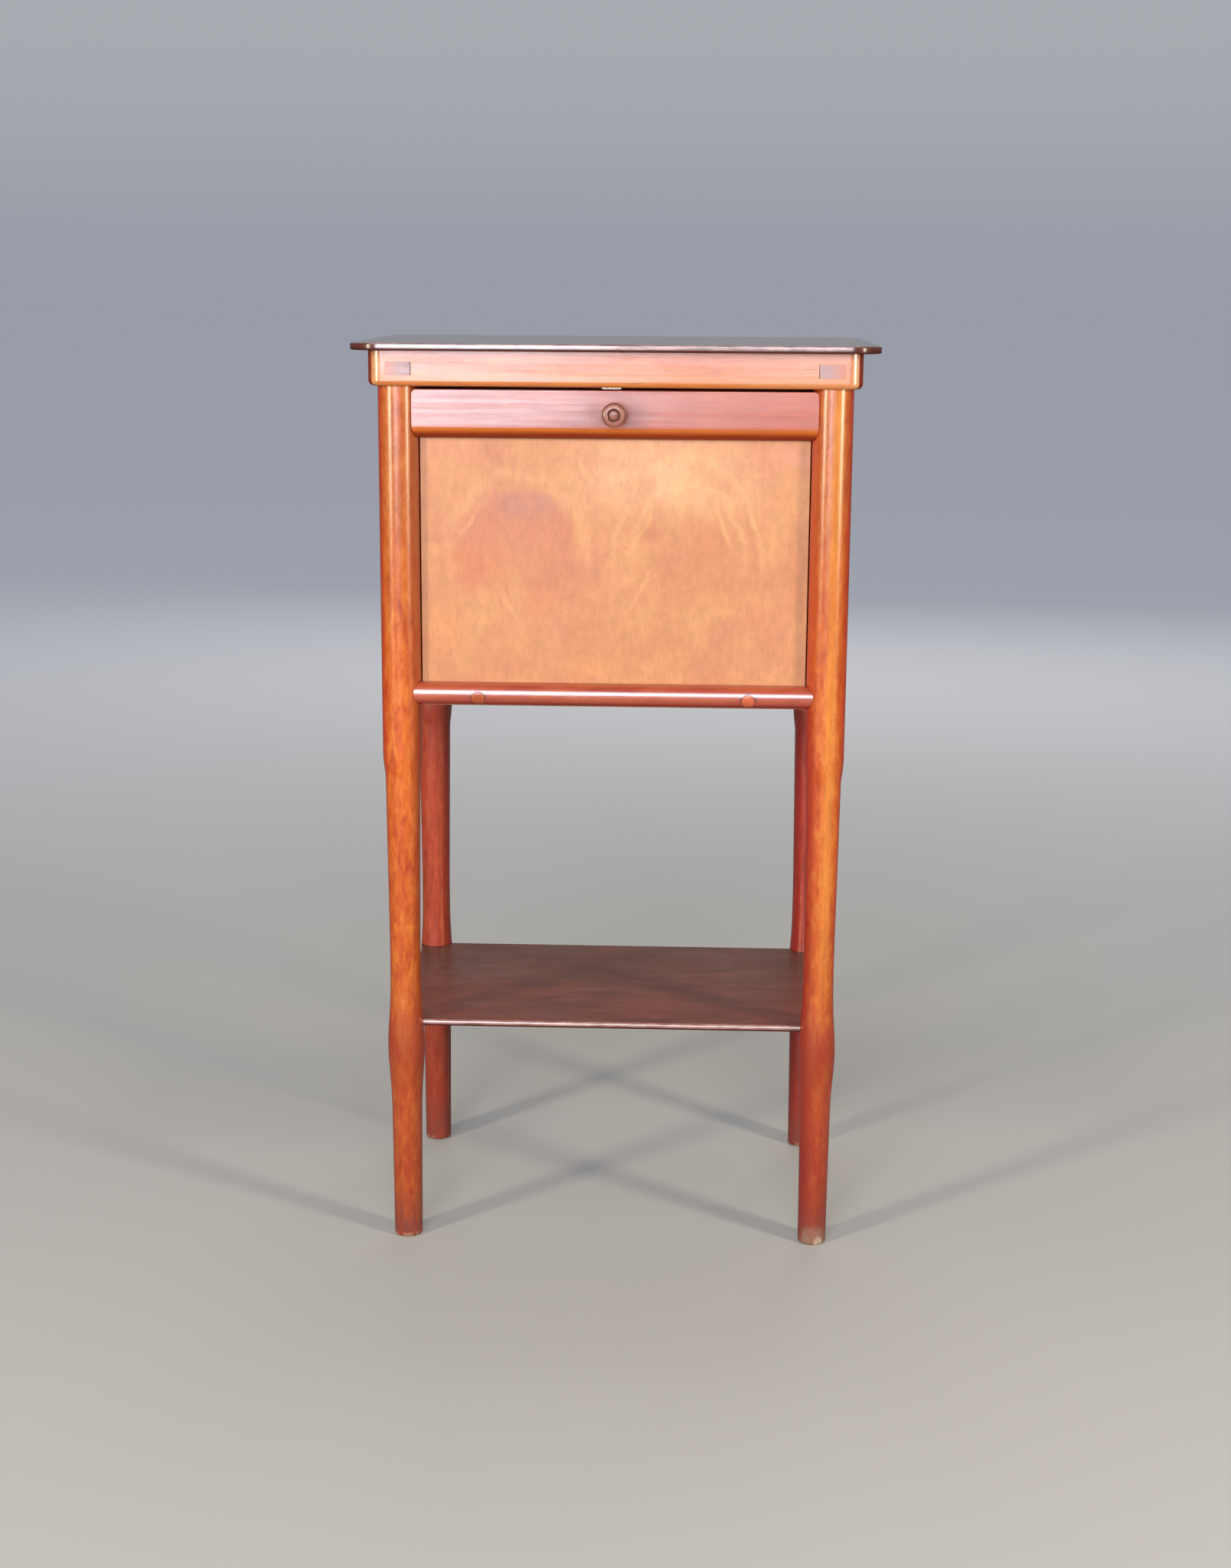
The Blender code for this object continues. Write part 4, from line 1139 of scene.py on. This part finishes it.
KNOB_SCREW_PROFILE = [
    (0.0029, 0.0), (0.0032, 0.0002), (0.0032, 0.0005),
    (0.0016, 0.0022), (0.0016, 0.0240), (0.0002, 0.0260),
]
CATCH_SCREW_PROFILE = [
    *quarter(0.0004, 0.0, 0.0027, 0.0016, 6),
    (0.0013, 0.0016), (0.0013, 0.0084), (0.0002, 0.0100),
]


def screw(name, profile, place, slot_width, slot_depth):
    """A screw driven forward from this place, with a driver's slot across its head."""
    piece = lathe(name, profile, SCREW_SIDES)
    point_forward(piece, place)
    x, y, z = place
    reach, half = max(radius for radius, height in profile) + CUT_PAST, slot_width / 2
    slot = block(
        "slot", (x - reach, y - slot_depth, z - half), (x + reach, y + slot_depth, z + half)
    )
    cut(piece, slot)
    put_away(slot)
    return piece


place = (0, FLAP_BACK_Y, KNOB_Z)
knob_screw = screw("knob_wood_screw", KNOB_SCREW_PROFILE, place, 0.0009, 0.0010)
fit(knob_screw, "flap", STEEL, "knob_screw")

for side in SIDES:
    low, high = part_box(f"catch_screw_{side}")
    centre = (low + high) / 2
    place = (centre.x, high.y, centre.z)
    catch_screw = screw(f"{side}_catch_screw", CATCH_SCREW_PROFILE, place, 0.0007, 0.0008)
    fit(catch_screw, "cabinet", STEEL, f"catch_screw_{side}")

for name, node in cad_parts.items():
    if name.startswith(("leg_screw", "bar_screw")):
        node.data.materials.clear()
        node.data.materials.append(STEEL)


# Spring catch, bent from one strip

low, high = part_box("catch_spring")
catch_head = APRON_BOTTOM - SEAT_GAP
catch_flat = catch_head - STRIP / 2
catch_nose = low.z + STRIP / 2
let_go()
bpy.ops.mesh.primitive_plane_add(
    size=1,
    location=((low.x + high.x) / 2, high.y - STRIP / 2, (high.z + catch_flat) / 2),
    rotation=(math.pi / 2, 0, 0),
)
bpy.context.object.scale = (high.x - low.x, high.z - catch_flat, 1)
catch = settle("spring_catch")
pick(catch, "edges", below(catch_flat))
height = catch_flat
bends = ((CATCH_FLAT_RUN, catch_flat), (CATCH_NOSE_RUN, catch_nose), (0, catch_head))
for run, next_height in bends:
    move = (0, -run, next_height - height)
    bpy.ops.mesh.extrude_region_move(TRANSFORM_OT_translate={"value": move})
    height = next_height
put_down()
round_over(
    catch, lambda each: runs(each, X_AXIS) and len(each.link_faces) == 2, CATCH_BEND, steps=4
)
modify(catch, "SOLIDIFY", thickness=STRIP, offset=0, use_even_offset=True)
fit(catch, "cabinet", NICKEL, "catch_spring")


# Studio: camera, lamps, floor and backdrop

CAMERA_PLACE = (0.0700, -2.0361, 0.8291)
CAMERA_YAW = math.radians(-2.017)
CAMERA_DIP = math.radians(12.282)
CAMERA_ROLL = math.radians(0.400)
CAMERA_SENSOR = 36.0
CAMERA_LENS = 52.92
let_go()
bpy.ops.object.camera_add(location=CAMERA_PLACE)
camera = bpy.context.object
level = Euler((math.pi / 2 - CAMERA_DIP, 0, -CAMERA_YAW)).to_matrix()
camera.rotation_euler = (level @ Matrix.Rotation(CAMERA_ROLL, 3, "Z")).to_euler()
camera.data.sensor_fit = "VERTICAL"
camera.data.sensor_height = CAMERA_SENSOR
camera.data.lens = CAMERA_LENS
camera.data.dof.use_dof = False
bpy.context.scene.camera = camera


def lamp(name, place, aim, size, power, colour, mirrored=True):
    """A soft lamp that the camera doesn't see, and reflections only if it is mirrored."""
    let_go()
    bpy.ops.object.light_add(type="AREA", location=place)
    light = bpy.context.object
    light.name = name
    light.data.shape = "RECTANGLE"
    light.data.size, light.data.size_y = size
    light.data.energy = power
    light.data.color = colour
    light.visible_camera = False
    light.visible_glossy = mirrored
    light.rotation_euler = (Vector(aim) - Vector(place)).to_track_quat("-Z", "Y").to_euler()


COOL, WARM, NEUTRAL = (0.87, 0.89, 1.0), (1.0, 0.87, 0.65), (1.0, 0.98, 0.96)
lamp("front_left", (-0.70, -3.40, 1.40), (-0.24, 0, 1.00), (1.10, 1.80), 49.0, COOL)
lamp("front_right", (0.46, -3.40, 1.48), (0.20, 0, 1.06), (0.76, 1.36), 23.0, COOL)
lamp("left_lamp", (-2.24, -2.28, 1.10), (0, 0, 0.70), (0.36, 1.20), 50.0, WARM)
lamp("right_lamp", (1.95, -1.50, 1.05), (0, 0, 0.70), (0.32, 1.10), 30.0, WARM)
lamp("back_fill", (0.30, 3.20, 2.00), (0, 0, 0.40), (2.60, 1.60), 30.0, NEUTRAL, mirrored=False)

FLOOR_SIZE = 120
FLOOR_DROP = 0.0002  # below the feet
FLOOR_TONE = (0.585, 0.58, 0.565, 1.0)
FLOOR_UNDER_LAMPS = (0.30, 0.298, 0.29, 1.0)
FLOOR_BOUNCE = (0.24, 0.235, 0.225, 1.0)
LAMPS_FROM_Y, LAMPS_TO_Y = -3.2, -0.7
FLOOR_LIFT_NEAR = (0.012, 0.013, 0.012, 1.0)
FLOOR_LIFT_FAR = (0.195, 0.208, 0.255, 1.0)
FLOOR_FAR = 4.0
BACKDROP_TONE = (0.385, 0.405, 0.435, 1.0)
BACKDROP_SWEEP = 0.10
ROOM_TONE = (0.05, 0.05, 0.055, 1.0)
AMBIENT_TONE = (0.94, 1.0, 1.08, 1.0)
AMBIENT = 0.22

let_go()
bpy.ops.mesh.primitive_plane_add(size=FLOOR_SIZE, location=(0, 0, -FLOOR_DROP))
floor = settle("studio_floor")
paper = Finish("floor_paper", Roughness=1.0, Specular_IOR_Level=0.0)
seen = paper.add("LightPath").outputs["Is Camera Ray"]
close_by = paper.near((0, 0, 0), (FLOOR_FAR, FLOOR_FAR, FLOOR_FAR))
paper.wire(paper.mix(close_by, FLOOR_LIFT_FAR, FLOOR_LIFT_NEAR), "Emission Color")
paper.wire(seen, "Emission Strength")
pale = paper.mix(paper.rise(paper.y, LAMPS_FROM_Y, LAMPS_TO_Y), FLOOR_UNDER_LAMPS, FLOOR_TONE)
paper.wire(paper.mix(seen, FLOOR_BOUNCE, pale), "Base Color")
floor.data.materials.append(paper.material)


def horizon(paper_tone):
    """The far floor's tone, so that no line shows where the backdrop meets it."""
    levels = zip(AMBIENT_TONE, paper_tone, FLOOR_LIFT_FAR)
    return [AMBIENT * light * shade + lift for light, shade, lift in levels]


world = bpy.data.worlds.new("studio")
world.use_nodes = True
bpy.context.scene.world = world
sky = Nodes(world.node_tree)
ambient = sky.tree.nodes["Background"]
ambient.inputs["Color"].default_value = AMBIENT_TONE
ambient.inputs["Strength"].default_value = AMBIENT
heading = sky.add("TexCoord").outputs["Generated"]
_, backwards, upwards = sky.add("SeparateXYZ", {"Vector": heading}).outputs
ray = sky.add("LightPath").outputs
shown = ray["Is Camera Ray"]
behind = sky.ease(backwards, -0.15, 0.0, 0.0, 1.0, way="LINEAR")
far_floor = sky.mix(behind, horizon(FLOOR_UNDER_LAMPS), horizon(FLOOR_TONE))
paper_sweep = sky.mix(sky.rise(upwards, 0.0, BACKDROP_SWEEP), far_floor, BACKDROP_TONE)
# Reflections show a dim room in front of the backdrop
lit = sky.sum("MAXIMUM", sky.rise(backwards, -0.2, 0.3), shown)
backdrop = sky.add("Background", {"Color": sky.mix(lit, ROOM_TONE, paper_sweep)})
for kind in ("Is Glossy Ray", "Is Transmission Ray"):
    shown = sky.sum("MAXIMUM", shown, ray[kind])
choice = sky.add("MixShader", {0: shown, 1: ambient.outputs[0], 2: backdrop.outputs[0]})
sky.tree.links.new(choice.outputs[0], sky.tree.nodes["World Output"].inputs["Surface"])

bpy.context.scene.view_settings.view_transform = "Standard"
